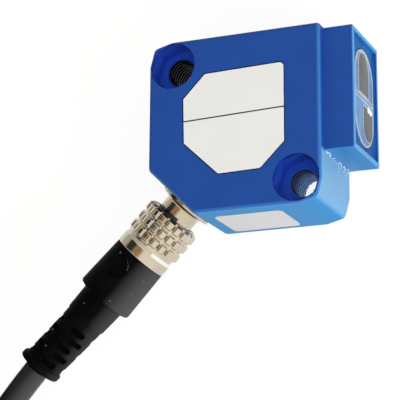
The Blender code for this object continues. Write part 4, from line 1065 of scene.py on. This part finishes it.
grip = {"start": 12.1, "end": 21.3, "front": 4.7, "rear": 5, "neck": 3.5, "anchor": 13.7, "tailEnd": 26,
        "tailFront": 3.86, "tailRear": 3.67, "reliefFront": 3.5, "reliefRear": 3.35, "firstSlot": 28.15,
        "slotPitch": 1.76, "slotWidth": 0.92, "slotRows": 5, "slotArc": 48, "slotAngle": -54, "twist": 17,
        "slotsRound": 4, "floor": 2.6, "ring": 36.14, "ringRadius": 3.8, "ringRound": 0.4, "ringEnd": 37.44,
        "hole": 2.2, "shoulder": 0.18, "slotEdge": 0.1, "markAt": 15.2, "markRadius": 2, "markDepth": 0.5,
        "markEdge": 0.12, "count": 288, "step": 0.07}


# 1 on a slot's floor, 0 outside, with the slot's ends rounded
def slotDepth(along, angle):
    row = round((along - grip["firstSlot"]) / grip["slotPitch"])
    if row < 0 or row >= grip["slotRows"]:
        return 0
    off = along - grip["firstSlot"] - row * grip["slotPitch"]
    centre = grip["slotAngle"] + (grip["twist"] if row % 2 == 0 else 0)
    pitch = 360 / grip["slotsRound"]
    away = (math.degrees(angle) - centre + pitch / 2) % pitch - pitch / 2
    arc = math.radians(abs(away)) * grip["reliefFront"]
    halfLength, halfWidth = math.radians(grip["slotArc"] / 2) * grip["reliefFront"], grip["slotWidth"] / 2
    past = max(0, arc - (halfLength - halfWidth))
    return smoothStep((halfWidth - math.hypot(past, off)) / grip["slotEdge"] + 0.5)


def gripProfile():
    start, end, front, rear, neck, anchor, hole, shoulder = take(
        grip, "start end front rear neck anchor hole shoulder")
    tailEnd, tailFront, tailRear, reliefFront, reliefRear = take(
        grip, "tailEnd tailFront tailRear reliefFront reliefRear")
    ring, radius, bevel, ringEnd = take(grip, "ring ringRadius ringRound ringEnd")

    def slope(first, length, fromRadius, toRadius, count):
        return [(first + length * k / count, fromRadius + (toRadius - fromRadius) * k / count)
                for k in range(1, count + 1)]

    quarter = [math.pi / 2 * k / 5 for k in range(6)]
    reliefCount = round((ring - tailEnd) / grip["step"])
    return ([(anchor, 0), (anchor, neck), (start, neck), (start, front - 0.2), (start + 0.05, front - 0.06),
             (start + shoulder, front)]
            + slope(start + shoulder, end - 0.45 - start - shoulder, front, rear, 64)
            + [(end - 0.25, rear - 0.05), (end - 0.1, rear - 0.17), (end, rear - 0.4), (end, tailFront + 0.12),
               (end + 0.1, tailFront)]
            + slope(end + 0.1, tailEnd - end - 0.25, tailFront, tailRear, 12)
            + [(tailEnd - 0.05, tailRear - 0.03), (tailEnd, tailRear - 0.1), (tailEnd, reliefFront + 0.06),
               (tailEnd + 0.08, reliefFront)]
            + slope(tailEnd + 0.08, ring - tailEnd - 0.1, reliefFront, reliefRear, reliefCount)[:-1]
            + [(ring - 0.01, reliefRear + 0.02)]
            + [(ring + bevel * (1 - math.cos(a)), radius - bevel * (1 - math.sin(a))) for a in quarter]
            + [(ringEnd - bevel * (1 - math.sin(a)), radius - bevel * (1 - math.cos(a))) for a in quarter]
            + [(ringEnd, hole + 0.15), (ringEnd - 0.12, hole), (ringEnd - 0.12, 0)])


# cuts the slots and the flat round mark into the turned shape
def gripRadius(along, radius, angle):
    if grip["tailEnd"] < along < grip["ring"] and radius > grip["floor"]:
        return radius - (radius - grip["floor"]) * slotDepth(along, angle)
    if grip["start"] + grip["shoulder"] <= along <= grip["end"] - 0.4 and radius >= grip["front"]:
        away = (angle + math.pi) % (2 * math.pi) - math.pi
        reach = math.hypot(along - grip["markAt"], radius * math.sin(away))
        if abs(away) < math.pi / 2 and reach < grip["markRadius"] + 0.1:
            sunk = smoothStep((grip["markRadius"] - reach) / grip["markEdge"] + 0.5)
            flat = (grip["front"] - grip["markDepth"]) / math.cos(away)
            return radius + (min(radius, flat) - radius) * sunk
    return radius


# the soft end leans aside with the cable
def leanAt(along):
    return cable["lean"] * (max(0, along - grip["end"]) / (grip["ringEnd"] - grip["end"])) ** 2


def addGrip():
    bm = lathe(gripProfile(), grip["count"], gripRadius)
    for vertex in bm.verts:
        vertex.co.y += leanAt(vertex.co.z / mm) * mm
    piece = meshPiece("plugGrip", onConnector(bm), "grip", "cable_plug", "plug_grip", sharp=48)

    # painted shade on the slot floors
    def inSlot(local, angle, normal):
        radius = math.hypot(local.x, local.y - leanAt(local.z))
        return grip["tailEnd"] + 0.5 < local.z < grip["ring"] - 0.3 and radius < grip["reliefRear"] - 0.12
    paintRound(piece, "slot", inSlot)

    # light catches the far wall of the round mark
    markPlace = (cutFace + outwards * grip["markAt"] * mm) / mm + up * grip["front"]

    def onMarkEdge(place, normal):
        away = place - markPlace
        away -= up * away.dot(up)
        return (abs(away.length - grip["markRadius"]) < 0.1 and place.z > markPlace.z - 1
                and away.normalized().x > 0.88)
    paintFaces(piece, "gripEdge", onMarkEdge)
    return piece


gripPiece = addGrip()
print("plug made")


# CAD nodes whose shape is right take a material of their own

socketNodes = "contact_socket_1 contact_socket_2 contact_socket_3 contact_socket_4"
nodeLooks = {
    "cover": "back_cover", "sideLabel": "side_label", "carrierGrey": "optics_carrier",
    "lensGlass": "receiver_lens emitter_lens", "ledResin": "emitter_led", "board": "sensor_board main_board",
    "chip": "receiver_diode controller_chip output_driver", "capacitor": "buffer_capacitor",
    "insert": "pin_carrier contact_carrier", "seal": "nose_seal",
    "gold": "contact_pin_1 contact_pin_2 contact_pin_3 contact_pin_4 " + socketNodes,
}
for look, nodeNames in nodeLooks.items():
    for node in take(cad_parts, nodeNames):
        node.data.materials.clear()
        node.data.materials.append(materials[look])

print("materials given")


# floor, light and world

floorLook = {"half": 3, "sunk": 0.02, "grey": (0.86, 0.86, 0.86, 1), "glow": 1.1, "glowShare": 0.8}


def addFloor():
    bm = bmesh.new()
    bmesh.ops.create_grid(bm, x_segments=1, y_segments=1, size=floorLook["half"])
    data = bpy.data.meshes.new("floor")
    bm.to_mesh(data)
    bm.free()
    floor = addObject("floor", data)
    floor.location = (0, 0, -floorLook["sunk"] * mm)
    made, tree, shader = newMaterial("floorWhite")
    setInputs(tree, shader, {"Base Color": floorLook["grey"], "Roughness": 0.9, "Specular IOR Level": 0.1})
    glow = addNode(tree, "Emission", {"Strength": floorLook["glow"]})
    # the camera, reflections and clear parts see a mix with an even white glow, which sheds no light elsewhere
    rays = addNode(tree, "LightPath").outputs
    seen = rays["Is Camera Ray"]
    for ray in ("Is Glossy Ray", "Is Transmission Ray"):
        seen = mathNode(tree, "MAXIMUM", seen, rays[ray])
    seen = mathNode(tree, "MULTIPLY", seen, floorLook["glowShare"])
    shown = mixShaders(tree, seen, shader.outputs[0], glow.outputs[0])
    setInputs(tree, tree.nodes["Material Output"], {"Surface": shown})
    data.materials.append(made)


def addLight(name, place, aim, size, power, colour):
    lamp = bpy.data.lights.new(name, "AREA")
    lamp.shape = "DISK"
    lamp.size = size
    lamp.energy = power
    lamp.color = colour
    thing = addObject(name, lamp)
    thing.location = place
    thing.rotation_euler = (Vector(aim) - Vector(place)).to_track_quat("-Z", "Y").to_euler()
    thing.visible_glossy = False


# each patch has a direction, the bounds between which it grows and a colour: paler to the right, warm
# overhead, and a dark screen where the label face would mirror the light
studio = {"level": 1.07, "left": (0.58, 0.57, 0.55),
          "patches": [((0.66, -0.66, 0.36), -0.3, 0.9, (1.06, 1.04, 0.97)),
                      ((-0.049, -0.112, 0.993), 0.95, 0.972, (0.4, 0.22, 0.09)),
                      ((-0.478, 0.325, 0.816), 0.925, 0.95, (0.025, 0.025, 0.025))]}


def addWorld():
    world = bpy.data.worlds.new("studio")
    bpy.context.scene.world = world
    world.use_nodes = True
    tree = world.node_tree
    background = tree.nodes["Background"]
    direction = coordinate(tree, "Generated")
    colour = studio["left"]
    for aim, low, high, patch in studio["patches"]:
        share = spread(tree, alongAxis(tree, direction, Vector(aim).normalized()), low, high)
        colour = mixColours(tree, share, colour, patch)
    setInputs(tree, background, {"Color": colour, "Strength": studio["level"]})
    # the camera itself sees plain white
    plain = addNode(tree, "Background", {"Color": (1, 1, 1, 1)})
    seen = addNode(tree, "LightPath").outputs["Is Camera Ray"]
    shown = mixShaders(tree, seen, background.outputs[0], plain.outputs[0])
    setInputs(tree, tree.nodes["World Output"], {"Surface": shown})


addFloor()
addLight("key", place=(0.36, -0.25, 0.1), aim=(0, 0, 0.007), size=0.24, power=2.2, colour=(0.97, 1.02, 1.12))
addWorld()
bpy.context.scene.view_settings.view_transform = "Standard"
print("scene lit")
